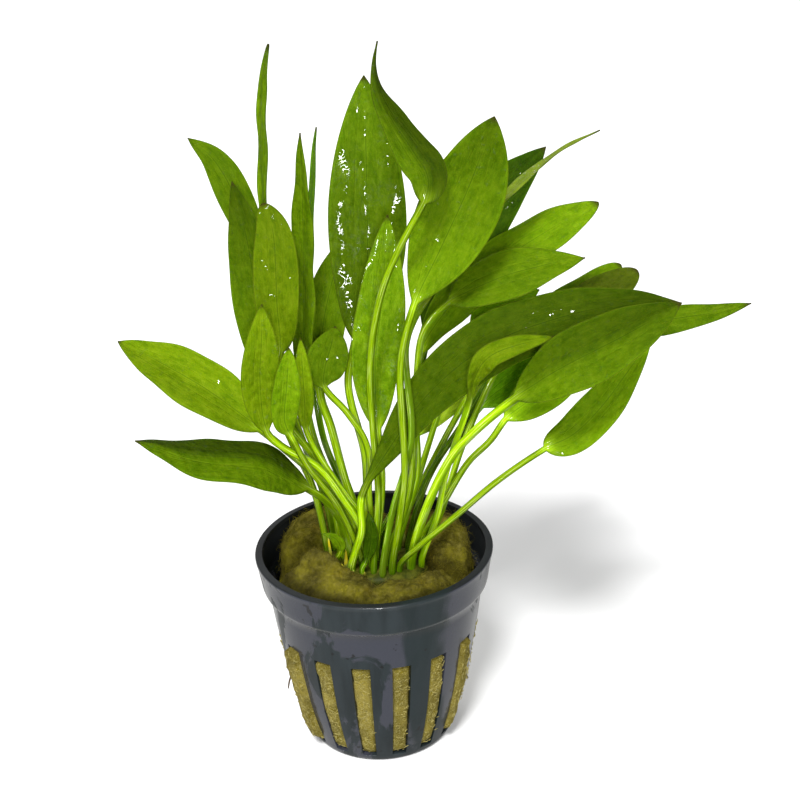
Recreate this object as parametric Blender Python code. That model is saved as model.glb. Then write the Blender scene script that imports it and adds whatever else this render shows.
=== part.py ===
"""A potted amazon sword plant: slotted net pot, rock wool, crown, two root ends and stalked leaves.

The origin is the middle of the pot's underside, +Z is up and the viewer stands at -Y.
Sizes and places are written in millimetres and become metres when a mesh is made.
"""
from collections import namedtuple
from math import cos, pi, radians, sin

import bmesh
import bpy
from mathutils import Matrix, Vector

MM = 0.001
GAP = 0.35
MERGE_DISTANCE = 1e-4
SMOOTH_ANGLE = radians(40)

# The pot, from its underside to its rim
POT_HEIGHT = 47.4
RIM_RADIUS = 27.0
RIM_THICKNESS = 1.4
BAND_BOTTOM = 39.6
BAND_BOTTOM_RADIUS = 25.7
STEP_RADIUS = 24.5
STEP_HEIGHT = 0.9
WALL = 1.1
WALL_OUTLINE = [(0.0, 16.3), (0.7, 16.8), (5.0, 18.3), (11.0, 20.0), (18.0, 21.5), (28.0, 23.1)]
FLOOR = 1.4
POT_SIDES = 48

# The slots in the wall and the drain slots in the floor
SLOTS = 16
SLOT_ANGLE = radians(10.4)
SLOT_PHASE = radians(0.7)
SLOT_BOTTOM = 1.9
SLOT_TOP = 29.4
DRAIN_INNER = 9.0
DRAIN_OUTER = 14.6
DRAIN_WIDTH = 2.2
CUTTER_MARGIN = 3.0

# The crown that the leaves stand on, seen from above an oval
CROWN_CENTRE = Vector((-0.2, -3.2, 0.0))
CROWN_TURN = radians(-14)
CROWN_HALF_LENGTH = 12.6
CROWN_HALF_DEPTH = 8.4
CROWN_TOP = 45.0
CROWN_LEVELS = [(37.4, 0.25), (38.0, 0.55), (40.0, 0.86), (43.0, 1.0), (45.0, 0.97)]
CROWN_SIDES = 20

# The leaves
FOOT_HEIGHT = CROWN_TOP + GAP
UPRIGHT_FOOT = 1.6
STALK_RINGS = 6
BLADE_STEPS = [0.05, 0.16, 0.33, 0.52, 0.71, 0.88, 1.0]
BASE_ROUNDNESS = 0.7
TIP_TAPER = 0.85
TIP_WIDTH = 0.35
BLADE_THICKNESS = 0.34
TIP_THICKNESS = 0.16
CURVE_STEPS = 24

Leaf = namedtuple("Leaf", "name foot stalk blade width girth fold face tip_face roundness taper",
                  defaults=[BASE_ROUNDNESS, TIP_TAPER])

LEAVES = [
    Leaf("leaf_left_low", (-5.2, -5.4), [(-7, -8, 58), (-10, -11, 65), (-13.5, -13, 69)],
         [(-22, -18, 78.3), (-34, -24, 83.3), (-46, -28, 89)],
         14, 1.7, -0.15, (-0.2, -0.6, 0.9), (0.1, -0.2, 1)),
    Leaf("leaf_left_mid", (-4.6, -2.4), [(-4.8, -6.6, 57.5), (-11, -7, 68), (-17, -6, 74), (-23, -4, 79)],
         [(-34, 0, 87), (-45, 6, 92), (-54, 10, 95.7)],
         13, 1.7, 0.12, (0.3, -1, 0.9), (0.3, -0.8, 1)),
    Leaf("leaf_left_inner", (-0.6, -6.8),
         [(-3.2, -9.6, 58.5), (-6, -11.5, 65), (-11, -13, 74), (-18, -15, 80), (-21, -16, 84)],
         [(-21.5, -17, 96), (-20.5, -17, 105), (-20, -16, 112)],
         8, 1.6, 0.2, (0.3, -1, 0), (0, -1, 0)),
    Leaf("leaf_left_upper", (-9.0, 2.2), [(-10.5, 3.5, 58), (-15, 4.5, 73), (-19.6, 7, 91), (-22.4, 12, 113)],
         [(-26, 15.5, 124.4), (-30.6, 19.5, 132.8), (-36, 22, 137.2)],
         7.8, 1.55, 0.15, (0.2, -1, 0.3), (0.4, -1, 0.5)),
    Leaf("leaf_left_dark", (-10.6, 0.2), [(-13, 1, 62), (-17.5, 2.5, 74), (-21.5, 4.5, 87)],
         [(-22.8, 7, 107), (-24, 9, 119), (-26.6, 14, 129.3)],
         10.6, 1.55, 0.2, (0, -1, 0), (-0.4, -1, 0)),
    Leaf("leaf_ribbon_left", (-7.8, 0.2), [(-10.6, 0.2, 62), (-14.5, 0, 74), (-18, 0, 87.6), (-20.8, 2.5, 106)],
         [(-19.8, 5.3, 125.7), (-18.7, 7, 145.5), (-18, 8, 152.5), (-16.5, 9, 158.6)],
         5.2, 1.45, 0.1, (1, -0.36, 0), (1, -0.36, 0), 0.4, 0.35),
    Leaf("leaf_left_arch", (-7.4, -2.0),
         [(-9, -3.2, 64), (-12.5, -4.5, 73), (-18, -9, 84), (-20, -10, 91), (-17.6, -7, 98)],
         [(-17.6, -6.5, 108), (-17.4, -4, 118.3), (-17.8, -1, 123.1), (-19.6, 2, 127.6)],
         9.5, 1.7, 0.1, (0, -1, 0.2), (0, -0.7, 0.7), 0.7, 0.55),
    Leaf("leaf_narrow_near", (-5.4, 1.2), [(-7, 1, 59), (-11.5, 1, 72), (-13.3, 1, 84)],
         [(-12.6, 2.5, 101), (-11.6, 5.5, 120), (-11.3, 9, 140.3)],
         8, 1.45, 0.15, (-0.6, -0.6, 0), (-0.6, -0.5, 0)),
    Leaf("leaf_narrow_far", (-5.6, 3.6), [(-6, 4.5, 58), (-10.4, 7.5, 72), (-11.8, 11.5, 90)],
         [(-11.2, 15, 111.3), (-10, 17.5, 125.6), (-8.2, 19.5, 139)],
         5.8, 1.45, 0.1, (1, -0.3, 0), (1, -0.3, 0), 0.5, 0.6),
    Leaf("leaf_behind_left", (-2.8, 3.6), [(-4, 3, 56), (-5.8, 3, 62.6), (-8.4, 3, 76.5), (-10.2, 3.3, 83.7)],
         [(-9, 6, 97), (-6.8, 9, 106), (-2.9, 14, 116.5)],
         10, 1.9, 0.15, (-0.2, -1, 0.4), (-0.2, -1, 0.6)),
    Leaf("leaf_centre_big", (-2.2, 0.8), [(-1, -2, 70), (-4, 0, 87), (-2, 3, 96)],
         [(1, 7, 108), (2, 12, 126), (2.5, 18, 149.8)],
         17, 1.7, 0.12, (0, -1, 0.2), (0, -1, 0.4)),
    Leaf("leaf_centre_lower", (0.4, -1.8), [(2.4, -5.4, 66), (2, -5, 78)],
         [(2, -3, 92), (4, -1, 106), (6, 2, 124)],
         11, 1.6, 0.12, (0, -1, 0.1), (0, -1, 0.2)),
    Leaf("leaf_top_curl", (-0.4, -9.2),
         [(1.5, -7.8, 64), (1, -7.4, 77), (1, -8.5, 95), (4, -11, 112), (9.6, -13.5, 125), (12.8, -13.5, 130.4)],
         [(13.9, -10.5, 134.7), (11, -7, 139.5), (7.7, -4, 144.2), (4.9, -1, 150), (4.4, 2, 154.8), (5.4, 5, 158.9)],
         8.8, 1.5, 0.15, (0, -0.8, 0.5), (1, -0.35, 0.2), 0.5, 1.25),
    Leaf("leaf_centre_right", (3.7, -9.6),
         [(5.6, -13.6, 60), (7.2, -15.2, 73), (7, -14.5, 87), (7.2, -12.5, 97), (10.4, -10, 108)],
         [(16.2, -7.5, 119), (22.4, -7, 132), (27.3, -9, 145.9)],
         16.5, 1.6, 0.1, (-0.1, -1, 0.3), (0, -1, 0), 0.9, 0.85),
    Leaf("leaf_right_back", (2.2, 1.2), [(8, 1.4, 65), (11, 5, 80.6), (14, 9, 93.6)],
         [(20, 13.4, 106), (29, 19.6, 119.6), (42, 25, 131.2)],
         14, 1.45, 0.15, (-0.3, -1, 0.5), (-0.3, -1, 0.5)),
    Leaf("leaf_right_ribbon", (1.6, -10.4),
         [(4.6, -11.6, 63), (7, -12.6, 71), (9, -13, 80), (8.6, -9.5, 91), (8.6, -5, 97.5), (11, -0.5, 102)],
         [(17, 3, 109.6), (25, 4.8, 119.3), (34.2, 6.5, 128), (42.3, 10, 133.3), (52.3, 16, 136.5)],
         7, 1.45, 0.2, (-0.6, 0, 0.75), (-0.5, 0.1, 0.85), 0.5, 0.6),
    Leaf("leaf_right_upper", (3.4, -2.2), [(10, -2, 64), (10.5, 0, 78), (12, 2.5, 92)],
         [(18, 5, 101), (30, 9, 110), (41, 12, 116), (52.4, 16, 120.6)],
         12, 1.55, 0.12, (-0.3, -0.8, 0.9), (-0.2, -0.7, 1), 0.7, 0.6),
    Leaf("leaf_right_mid", (2.8, -6.6),
         [(8.5, -6, 64), (10, -5.5, 80), (11, -4.5, 92), (12.5, -3.5, 100), (18, -2.5, 105.5)],
         [(29, -1, 110), (38, 0, 112), (47.2, 1, 113)],
         12, 1.55, 0.1, (-0.3, -0.8, 0.9), (0, -0.8, 1), 0.7, 1.0),
    Leaf("leaf_right_lower", (5.4, 0.2), [(10.5, 2.5, 62), (15, 5, 75), (20, 6, 90), (23.5, 7, 96.5)],
         [(27, 8, 99), (32, 9.5, 101), (39, 12, 102.5)],
         8, 1.4, 0.15, (-0.4, -0.7, 0.9), (-0.2, -0.6, 1)),
    Leaf("leaf_far_back_left", (4.6, 2.6), [(12, 6.5, 60), (20, 11, 73), (28.6, 16, 84.4)],
         [(39, 22, 90.6), (50, 28, 95), (61.5, 36, 99.4)],
         8, 1.45, 0.15, (-0.3, -0.8, 0.9), (0, -0.7, 1), 0.7, 0.5),
    Leaf("leaf_far_back_right", (7.8, 0.8), [(13, 3.5, 62), (22, 8, 74), (32, 12, 88)],
         [(45, 17, 94), (55, 23, 97), (64, 29, 100.3)],
         10, 1.45, 0.15, (-0.3, -0.8, 0.9), (0, -0.7, 1), 0.7, 0.5),
    Leaf("leaf_long_right", (-5.2, -8.2), [(-4, -10.2, 52), (-2.5, -12.3, 58), (-2, -12, 66.5)],
         [(4, -10.5, 76), (13, -9, 88), (26, -8.5, 98.2), (40, -8, 103), (53, -8, 105.4), (66, -8, 105.2)],
         13, 1.7, 0.08, (-0.2, -1, 0.2), (0, -0.6, 1), 1.1),
    Leaf("leaf_right_front", (8.0, -7.6), [(11, -12.5, 61), (17, -15.5, 76), (23, -17, 83.5), (30, -18.5, 90)],
         [(39, -20, 96.7), (51, -22, 103.8), (62, -24, 111)],
         13.5, 1.9, 0.1, (-0.3, -0.9, 0.8), (0, -0.9, 0.8)),
    Leaf("leaf_far_right", (10.6, -4.0), [(15, -5, 57), (20, -5, 73), (26, -3, 86), (31, -1, 93)],
         [(44, 0, 96), (59, 2, 97.2), (73, 3, 98.2), (84, 4, 100)],
         8, 1.4, 0.15, (-0.2, -0.7, 1), (0, -0.8, 0.8)),
    Leaf("leaf_right_droop", (5.4, -9.0), [(11, -15, 56), (19, -15.5, 63.2), (27, -15, 69.9), (37, -13, 75.7)],
         [(43, -12.5, 78.4), (48.8, -12, 84), (54.4, -11, 91.4), (59.8, -9, 98.5)],
         9, 1.35, 0.1, (-0.4, -0.9, 0.5), (-0.4, -0.9, 0.3), 0.45),
    Leaf("leaf_under_front", (8.4, -5.0), [(15, -9, 61), (21, -10, 72), (26, -10, 77), (29, -9, 81)],
         [(36, -6.5, 85.2), (43, -5, 90.5), (49, -4, 94.8)],
         10, 1.45, 0.12, (-0.2, -0.8, 0.8), (0, -0.8, 0.8)),
    Leaf("leaf_shaded_right", (7.8, -2.0), [(13, -2, 59), (20, 1.5, 72), (25, 3, 79)],
         [(34, 5, 85), (44, 8, 89), (53, 10.5, 93)],
         12, 1.4, 0.1, (-0.3, -0.8, 0.8), (0, -0.8, 0.8)),
    Leaf("leaf_olive_back", (1.2, 4.0), [(9, 8.5, 60), (11, 13, 68)],
         [(17, 17, 75), (25, 21, 76), (34, 25, 75)],
         11, 1.3, 0.1, (-0.2, -0.7, 0.8), (0, -0.7, 0.8)),
    Leaf("leaf_bent_narrow", (10.4, -6.8), [(14, -11, 60), (16, -12.5, 71), (19, -13.5, 81), (21, -14, 87.6)],
         [(22, -15, 93.4), (24.8, -16, 98.2), (30.6, -15.5, 100.4), (38.6, -14, 101.4)],
         5, 1.4, 0.3, (0.5, -0.5, 0.6), (0.2, -0.7, 0.7)),
    Leaf("leaf_folded_left", (-2.8, -6.6), [(-5.6, -10, 58.5), (-8.5, -13.5, 67), (-13, -16.5, 76), (-16, -18, 84)],
         [(-17, -19, 88), (-16, -20, 96), (-15, -20, 104)],
         6, 1.4, 0.4, (0.2, -1, 0), (0.1, -1, 0)),
    Leaf("leaf_narrow_low", (-2.2, -3.8), [(-2.6, -7, 59), (-4.5, -8.5, 63), (-9.5, -10.5, 73), (-13, -12, 82)],
         [(-13, -12.5, 89), (-13, -12.5, 97), (-13, -12, 103)],
         4, 1.3, 0.3, (0.2, -1, 0), (0.1, -1, 0)),
    Leaf("leaf_centre_left_low", (0.4, -4.2), [(-0.6, -4.2, 62), (-0.4, -4.3, 74), (-4.8, -4.3, 83), (-8.9, -3.5, 88)],
         [(-8.6, -2.5, 92.6), (-7.2, -1.6, 96.6), (-6, -1, 101)],
         9, 1.45, 0.12, (0.1, -1, 0.2), (0, -1, 0.2)),
    Leaf("leaf_short_dark", (-2.8, -9.4), [(-2, -9.9, 48.8)],
         [(-1, -10.4, 52.4), (-0.5, -10.8, 57), (-0.9, -10.8, 61.6)],
         3.4, 1.2, 0.15, (0, -1, 0.2), (0, -1, 0.1)),
    Leaf("leaf_small_shoot", (-7.8, -6.0), [(-8.1, -8.6, 49.6), (-7.2, -10.6, 52.4)],
         [(-7.6, -12, 55), (-9, -13, 57.2), (-11.4, -13.6, 58.4)],
         3.6, 1.2, 0.15, (-0.2, -1, 0.3), (0, -0.9, 0.5)),
]

# The rock wool: name, first and last angle seen from above, and height of its top
Wool = namedtuple("Wool", "name start end top shoulder")
WOOL_FLOOR = FLOOR + GAP
WOOL_SEAT = 37.0
WOOL_STEP = 0.6
WOOL_SHOULDER = 43.0
WOOL_EDGE = 1.5
WOOL_CORE = 1.2
WOOL_CLEARANCE = 0.5
WOOL_ARC_STEPS = 6
WOOLS = [
    Wool("wool_front", 182, 329, 48.3, 23.5),
    Wool("wool_right", 331, 436, 48.6, 21.5),
    Wool("wool_left", 438, 540, 50.3, 23.0),
]

# The root ends that come out through two slots
ROOT_THICKNESS = 0.9
ROOT_TIP_SHARE = 0.3
ROOT_SIDES = 6
ROOTS = [
    ("root_left", [(-19.7, -4.3, 16.8), (-20.9, -4.6, 15.6), (-21.6, -4.8, 12.8)]),
    ("root_right", [(18.6, 3.6, 9.8), (20.2, 3.9, 9.0), (21.2, 4.1, 7.0)]),
]

POT_SLATE = ("pot_plastic", (0.045, 0.055, 0.068), 0.25)
WOOL_OLIVE = ("rock_wool", (0.30, 0.27, 0.055), 0.9)
CROWN_BROWN = ("crown_flesh", (0.12, 0.14, 0.03), 0.7)
LEAF_GREEN = ("leaf_green", (0.17, 0.36, 0.01), 0.3)
ROOT_BROWN = ("root_bark", (0.05, 0.03, 0.015), 0.8)


def clear_scene():
    for thing in list(bpy.data.objects):
        bpy.data.objects.remove(thing, do_unlink=True)


def finish_material(finish):
    name, colour, roughness = finish
    material = bpy.data.materials.get(name)
    if material is None:
        material = bpy.data.materials.new(name)
        material.use_nodes = True
        shader = material.node_tree.nodes["Principled BSDF"]
        shader.inputs["Base Color"].default_value = (*colour, 1.0)
        shader.inputs["Roughness"].default_value = roughness
        shader.inputs["Metallic"].default_value = 0.0
    return material


def add_object(name, bm, finish):
    """Make a named object of a bmesh that is in millimetres, with its faces pointing out."""
    bmesh.ops.recalc_face_normals(bm, faces=bm.faces)
    bmesh.ops.scale(bm, vec=(MM, MM, MM), verts=bm.verts)
    mesh = bpy.data.meshes.new(name)
    bm.to_mesh(mesh)
    bm.free()
    mesh.materials.append(finish_material(finish))
    mesh.shade_smooth()
    mesh.set_sharp_from_angle(angle=SMOOTH_ANGLE)
    thing = bpy.data.objects.new(name, mesh)
    bpy.context.scene.collection.objects.link(thing)
    return thing


def skin(rings):
    """Close a tube over rings of points, each ring with as many points as the others.

    The two halves of a ring are cut along mirrored diagonals, so the two sides of a thin twisted
    blade fold along the same lines and stay apart.
    """
    along = len(rings) - 1
    around = len(rings[0])
    bm = bmesh.new()
    bmesh.ops.create_grid(bm, x_segments=along, y_segments=around, size=0.5)
    first_half = [face for face in bm.faces if face.calc_center_median().y < 0]
    second_half = [face for face in bm.faces if face.calc_center_median().y > 0]
    bmesh.ops.triangulate(bm, faces=first_half, quad_method="FIXED")
    bmesh.ops.triangulate(bm, faces=second_half, quad_method="ALTERNATE")
    for vert in bm.verts:
        ring = rings[round((vert.co.x + 0.5) * along)]
        vert.co = ring[round((vert.co.y + 0.5) * around) % around]
    bmesh.ops.remove_doubles(bm, verts=bm.verts, dist=MERGE_DISTANCE)
    bmesh.ops.holes_fill(bm, edges=bm.edges, sides=around)
    return bm


def spline(points):
    """Read a smooth curve through the points, evenly in time between each pair."""
    ends = [2 * points[0] - points[1], *points, 2 * points[-1] - points[-2]]
    curve = [points[0]]
    for before, start, end, after in zip(ends, ends[1:], ends[2:], ends[3:]):
        reach = (end - start).length
        leave = (end - before).normalized() * reach
        arrive = (after - start).normalized() * reach
        for step in range(1, CURVE_STEPS + 1):
            t = step / CURVE_STEPS
            curve.append((2 * t**3 - 3 * t**2 + 1) * start + (t**3 - 2 * t**2 + t) * leave
                         + (3 * t**2 - 2 * t**3) * end + (t**3 - t**2) * arrive)
    return curve


def travel(curve):
    """Give the length along a curve at each of its points."""
    lengths = [0.0]
    for start, end in zip(curve, curve[1:]):
        lengths.append(lengths[-1] + (end - start).length)
    return lengths


def point_at(curve, lengths, length):
    for index in range(1, len(curve)):
        if length <= lengths[index] or index == len(curve) - 1:
            part = (length - lengths[index - 1]) / (lengths[index] - lengths[index - 1])
            return curve[index - 1].lerp(curve[index], min(part, 1.0))


def blade_half_width(leaf, along):
    """Half the blade's width, from the stalk at 0 to the pointed tip at 1."""
    widest = leaf.roundness / (leaf.roundness + leaf.taper)
    rise = (along / widest) ** leaf.roundness
    fall = ((1 - along) / (1 - widest)) ** leaf.taper
    return max(leaf.width / 2 * rise * fall, leaf.girth / 2 * (1 - along), TIP_WIDTH / 2)


def leaf_section(centre, across, up, half_width, half_thickness, spine, fold):
    """Six points round a leaf: two thin edges and a flat spine above and below."""
    lift = fold * (half_width - spine)
    corners = [(half_width, lift), (spine, half_thickness), (-spine, half_thickness),
               (-half_width, lift), (-spine, -half_thickness), (spine, -half_thickness)]
    return [centre + across * x + up * z for x, z in corners]


def make_leaf(leaf):
    foot = Vector((*leaf.foot, FOOT_HEIGHT))
    stem = [foot, foot + Vector((0, 0, UPRIGHT_FOOT))]
    stem += [Vector(point) for point in leaf.stalk]
    curve = spline(stem + [Vector(point) for point in leaf.blade])
    lengths = travel(curve)
    neck = lengths[CURVE_STEPS * (len(stem) - 1)]
    total = lengths[-1]
    stops = [neck * step / STALK_RINGS for step in range(STALK_RINGS + 1)]
    stops += [neck + (total - neck) * step for step in BLADE_STEPS]
    centres = [point_at(curve, lengths, stop) for stop in stops]
    tangents = [(after - before).normalized() for before, after
                in zip([centres[0]] + centres[:-1], centres[1:] + [centres[-1]])]
    tangents[0] = Vector((0, 0, 1))
    girth = leaf.girth / 2
    rings = []
    up = None
    for index in reversed(range(len(stops))):
        along = (stops[index] - neck) / (total - neck)
        if along >= 0:
            up = Vector(leaf.face).normalized().lerp(Vector(leaf.tip_face).normalized(), along)
            thickness = BLADE_THICKNESS + (TIP_THICKNESS - BLADE_THICKNESS) * along
            widen = min(along / BLADE_STEPS[1], 1.0)
            thickness += (girth * sin(pi / 3) - thickness) * (1 - widen)
            half_width = blade_half_width(leaf, along)
            fold = leaf.fold * widen
            spine = girth / 2 * (1 - along) + TIP_WIDTH / 4 * along
        else:
            thickness = girth * sin(pi / 3)
            half_width = girth
            fold = 0.0
            spine = girth / 2
        across = tangents[index].cross(up).normalized()
        up = across.cross(tangents[index]).normalized()
        rings.append(leaf_section(centres[index], across, up, half_width, thickness, spine, fold))
    return add_object(leaf.name, skin(rings[::-1]), LEAF_GREEN)


def turned(profile, sides):
    """Turn an outline that starts and ends on the axis into a closed round solid."""
    bm = bmesh.new()
    verts = [bm.verts.new((radius, 0, height)) for radius, height in profile]
    edges = [bm.edges.new(pair) for pair in zip(verts, verts[1:])]
    bmesh.ops.spin(bm, geom=verts + edges, cent=(0, 0, 0), axis=(0, 0, 1), dvec=(0, 0, 0),
                   angle=2 * pi, steps=sides, use_merge=True)
    bmesh.ops.remove_doubles(bm, verts=bm.verts, dist=MERGE_DISTANCE)
    return bm


def wall_radius(height):
    """The outside radius of the tapered wall below the rim band."""
    outline = WALL_OUTLINE + [(BAND_BOTTOM, STEP_RADIUS)]
    for (low, narrow), (high, wide) in zip(outline, outline[1:]):
        if height <= high:
            return narrow + (wide - narrow) * (height - low) / (high - low)
    return STEP_RADIUS


def pot_profile():
    """The pot's outline from the middle of its underside, up the outside and down the inside."""
    outside = [(0, 0)] + [(radius, height) for height, radius in WALL_OUTLINE]
    outside += [(STEP_RADIUS, BAND_BOTTOM - STEP_HEIGHT), (BAND_BOTTOM_RADIUS, BAND_BOTTOM)]
    soft = RIM_THICKNESS / 4
    rim = [(RIM_RADIUS, POT_HEIGHT - soft), (RIM_RADIUS - soft, POT_HEIGHT),
           (RIM_RADIUS - RIM_THICKNESS + soft, POT_HEIGHT), (RIM_RADIUS - RIM_THICKNESS, POT_HEIGHT - soft)]
    inside = [(BAND_BOTTOM_RADIUS - WALL, BAND_BOTTOM), (STEP_RADIUS - WALL, BAND_BOTTOM - 2 * STEP_HEIGHT)]
    inside += [(radius - WALL, height) for height, radius in reversed(WALL_OUTLINE) if height > FLOOR]
    inside += [(wall_radius(FLOOR) - WALL, FLOOR), (0, FLOOR)]
    return outside + rim + inside


def add_wedge(bm, angle, inner, outer, half_inner, half_outer, low, high):
    """Add a block to cut with, standing between two radii at one angle round the pot."""
    block = bmesh.ops.create_cube(bm, size=1.0)["verts"]
    turn = Matrix.Rotation(angle, 3, "Z")
    for vert in block:
        far = vert.co.x > 0
        half = half_outer if far else half_inner
        place = Vector((outer if far else inner, half if vert.co.y > 0 else -half,
                        high if vert.co.z > 0 else low))
        vert.co = turn @ place


def make_pot():
    pot = add_object("net_pot", turned(pot_profile(), POT_SIDES), POT_SLATE)
    reach = RIM_RADIUS + CUTTER_MARGIN
    start = WALL_OUTLINE[0][1] - CUTTER_MARGIN
    spread = sin(SLOT_ANGLE / 2)
    bm = bmesh.new()
    for slot in range(SLOTS):
        angle = SLOT_PHASE + 2 * pi * (slot + 0.5) / SLOTS
        add_wedge(bm, angle, start, reach, start * spread, reach * spread, SLOT_BOTTOM, SLOT_TOP)
        add_wedge(bm, angle, DRAIN_INNER, DRAIN_OUTER, DRAIN_WIDTH / 3, DRAIN_WIDTH / 2,
                  -FLOOR, FLOOR + GAP / 2)
    cutter = add_object("slot_cutter", bm, POT_SLATE)
    cutter.hide_render = True
    cutter.display_type = "WIRE"
    cut = pot.modifiers.new("slots", "BOOLEAN")
    cut.operation = "DIFFERENCE"
    cut.solver = "EXACT"
    cut.object = cutter


def crown_radius(angle, clearance):
    """How far the crown and a clearance reach from the pot's axis, looking out at one angle."""
    turn = Matrix.Rotation(-CROWN_TURN, 3, "Z")
    ahead = turn @ Vector((cos(angle), sin(angle), 0))
    middle = turn @ CROWN_CENTRE
    for reach in (ahead, middle):
        reach.x /= CROWN_HALF_LENGTH + clearance
        reach.y /= CROWN_HALF_DEPTH + clearance
    along = ahead.dot(middle)
    square = ahead.length_squared
    return (along + (along**2 - square * (middle.length_squared - 1)) ** 0.5) / square


def make_crown():
    turn = Matrix.Rotation(CROWN_TURN, 3, "Z")
    rings = []
    for height, share in CROWN_LEVELS:
        ring = []
        for side in range(CROWN_SIDES):
            angle = 2 * pi * side / CROWN_SIDES
            point = Vector((CROWN_HALF_LENGTH * cos(angle), CROWN_HALF_DEPTH * sin(angle), 0)) * share
            ring.append(CROWN_CENTRE + turn @ point + Vector((0, 0, height)))
        rings.append(ring)
    add_object("crown", skin(rings), CROWN_BROWN)


def wool_ring(wool, height, outer, clearance):
    """One level of a wedge of wool: its outer arc, then back along its inner one."""
    outer_arc = []
    inner_arc = []
    for step in range(WOOL_ARC_STEPS + 1):
        angle = radians(wool.start + (wool.end - wool.start) * step / WOOL_ARC_STEPS)
        outward = Vector((cos(angle), sin(angle), 0))
        shift = Vector((-sin(angle), cos(angle), 0)) * GAP / 2
        inner = WOOL_CORE if height < WOOL_SEAT else crown_radius(angle, clearance)
        middle = Vector((0, 0, height))
        if 0 < step < WOOL_ARC_STEPS:
            shift *= 0
        if step == WOOL_ARC_STEPS:
            shift *= -1
        outer_arc.append(middle + outward * outer + shift)
        inner_arc.append(middle + outward * inner + shift)
    return outer_arc + inner_arc[::-1]


def make_wool(wool):
    heights = [WOOL_FLOOR] + [height for height, radius in WALL_OUTLINE if height > WOOL_FLOOR]
    heights += [WOOL_SEAT - WOOL_STEP, WOOL_SEAT]
    outer = [wall_radius(height) - WALL - GAP for height in heights]
    heights += [WOOL_SHOULDER, wool.top - WOOL_EDGE, wool.top]
    outer += [wool.shoulder, wool.shoulder - WOOL_EDGE / 2, wool.shoulder - 2 * WOOL_EDGE]
    rings = []
    for height, radius in zip(heights, outer):
        clearance = WOOL_CLEARANCE if height < wool.top else 2 * WOOL_CLEARANCE
        rings.append(wool_ring(wool, height, radius, clearance))
    add_object(wool.name, skin(rings), WOOL_OLIVE)


def make_root(name, points):
    centres = [Vector(point) for point in points]
    rings = []
    for index, centre in enumerate(centres):
        ahead = (centres[min(index + 1, len(centres) - 1)] - centres[max(index - 1, 0)]).normalized()
        across = ahead.orthogonal().normalized()
        up = across.cross(ahead)
        radius = ROOT_THICKNESS / 2 * (1 - (1 - ROOT_TIP_SHARE) * index / (len(centres) - 1))
        turns = [2 * pi * side / ROOT_SIDES for side in range(ROOT_SIDES)]
        rings.append([centre + (across * cos(turn) + up * sin(turn)) * radius for turn in turns])
    add_object(name, skin(rings), ROOT_BROWN)


clear_scene()
make_pot()
make_crown()
for wool in WOOLS:
    make_wool(wool)
for name, points in ROOTS:
    make_root(name, points)
for leaf in LEAVES:
    make_leaf(leaf)
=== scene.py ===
"""The looks of a potted amazon sword plant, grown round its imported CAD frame.

Sizes and places are written in millimetres and become metres when a piece is made. The finishes and
the studio are in metres.
"""
import random
from collections import namedtuple
from math import cos, exp, pi, radians, sin

import bmesh
import bpy
from mathutils import Matrix, Vector, noise


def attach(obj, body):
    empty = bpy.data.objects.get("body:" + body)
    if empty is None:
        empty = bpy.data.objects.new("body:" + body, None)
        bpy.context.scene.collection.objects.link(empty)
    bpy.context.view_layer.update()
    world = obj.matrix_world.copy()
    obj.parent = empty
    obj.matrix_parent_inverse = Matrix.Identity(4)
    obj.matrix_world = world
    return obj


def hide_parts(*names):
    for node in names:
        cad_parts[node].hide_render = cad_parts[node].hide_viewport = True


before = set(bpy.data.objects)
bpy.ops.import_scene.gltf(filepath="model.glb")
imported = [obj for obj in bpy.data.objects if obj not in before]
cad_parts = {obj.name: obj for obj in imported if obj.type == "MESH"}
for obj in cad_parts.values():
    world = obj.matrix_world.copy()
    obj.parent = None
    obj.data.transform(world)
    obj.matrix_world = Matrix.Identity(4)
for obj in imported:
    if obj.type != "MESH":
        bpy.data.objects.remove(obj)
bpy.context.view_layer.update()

MM = 0.001
MERGE_DISTANCE = 1e-4

# -------- the maker's tools


def put_in_scene(name, data):
    made = bpy.data.objects.new(name, data)
    bpy.context.scene.collection.objects.link(made)
    return made


def as_mesh(name, bm):
    mesh = bpy.data.meshes.new(name)
    bm.to_mesh(mesh)
    bm.free()
    return mesh


def face_outwards(bm):
    bmesh.ops.recalc_face_normals(bm, faces=bm.faces)
    bm.normal_update()


def resize(bm, factor):
    bmesh.ops.scale(bm, vec=(factor, factor, factor), verts=bm.verts)


def add_piece(name, bm, finish, node, levels=0):
    """Make the finished piece that stands for a CAD node from a bmesh in millimetres."""
    face_outwards(bm)
    resize(bm, MM)
    mesh = as_mesh(name, bm)
    mesh.materials.append(finish)
    mesh.shade_smooth()
    piece = put_in_scene(name, mesh)
    if levels:
        smoothing = piece.modifiers.new("smoothing", "SUBSURF")
        smoothing.levels = levels
        smoothing.render_levels = levels
    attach(piece, "root")
    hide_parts(node)
    return piece


def skin(rings, marks=None, names=()):
    """Close a tube over rings of points. Marks are the named values that each point carries."""
    along = len(rings) - 1
    around = len(rings[0])
    bm = bmesh.new()
    bmesh.ops.create_grid(bm, x_segments=along, y_segments=around, size=0.5)
    layers = [bm.verts.layers.float.new(name) for name in names]
    for vert in bm.verts:
        row = round((vert.co.x + 0.5) * along)
        column = round((vert.co.y + 0.5) * around) % around
        vert.co = rings[row][column]
        for index, layer in enumerate(layers):
            vert[layer] = marks[row][column][index]
    bmesh.ops.remove_doubles(bm, verts=bm.verts, dist=MERGE_DISTANCE)
    bmesh.ops.holes_fill(bm, edges=bm.edges, sides=around)
    return bm


CURVE_STEPS = 24


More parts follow.
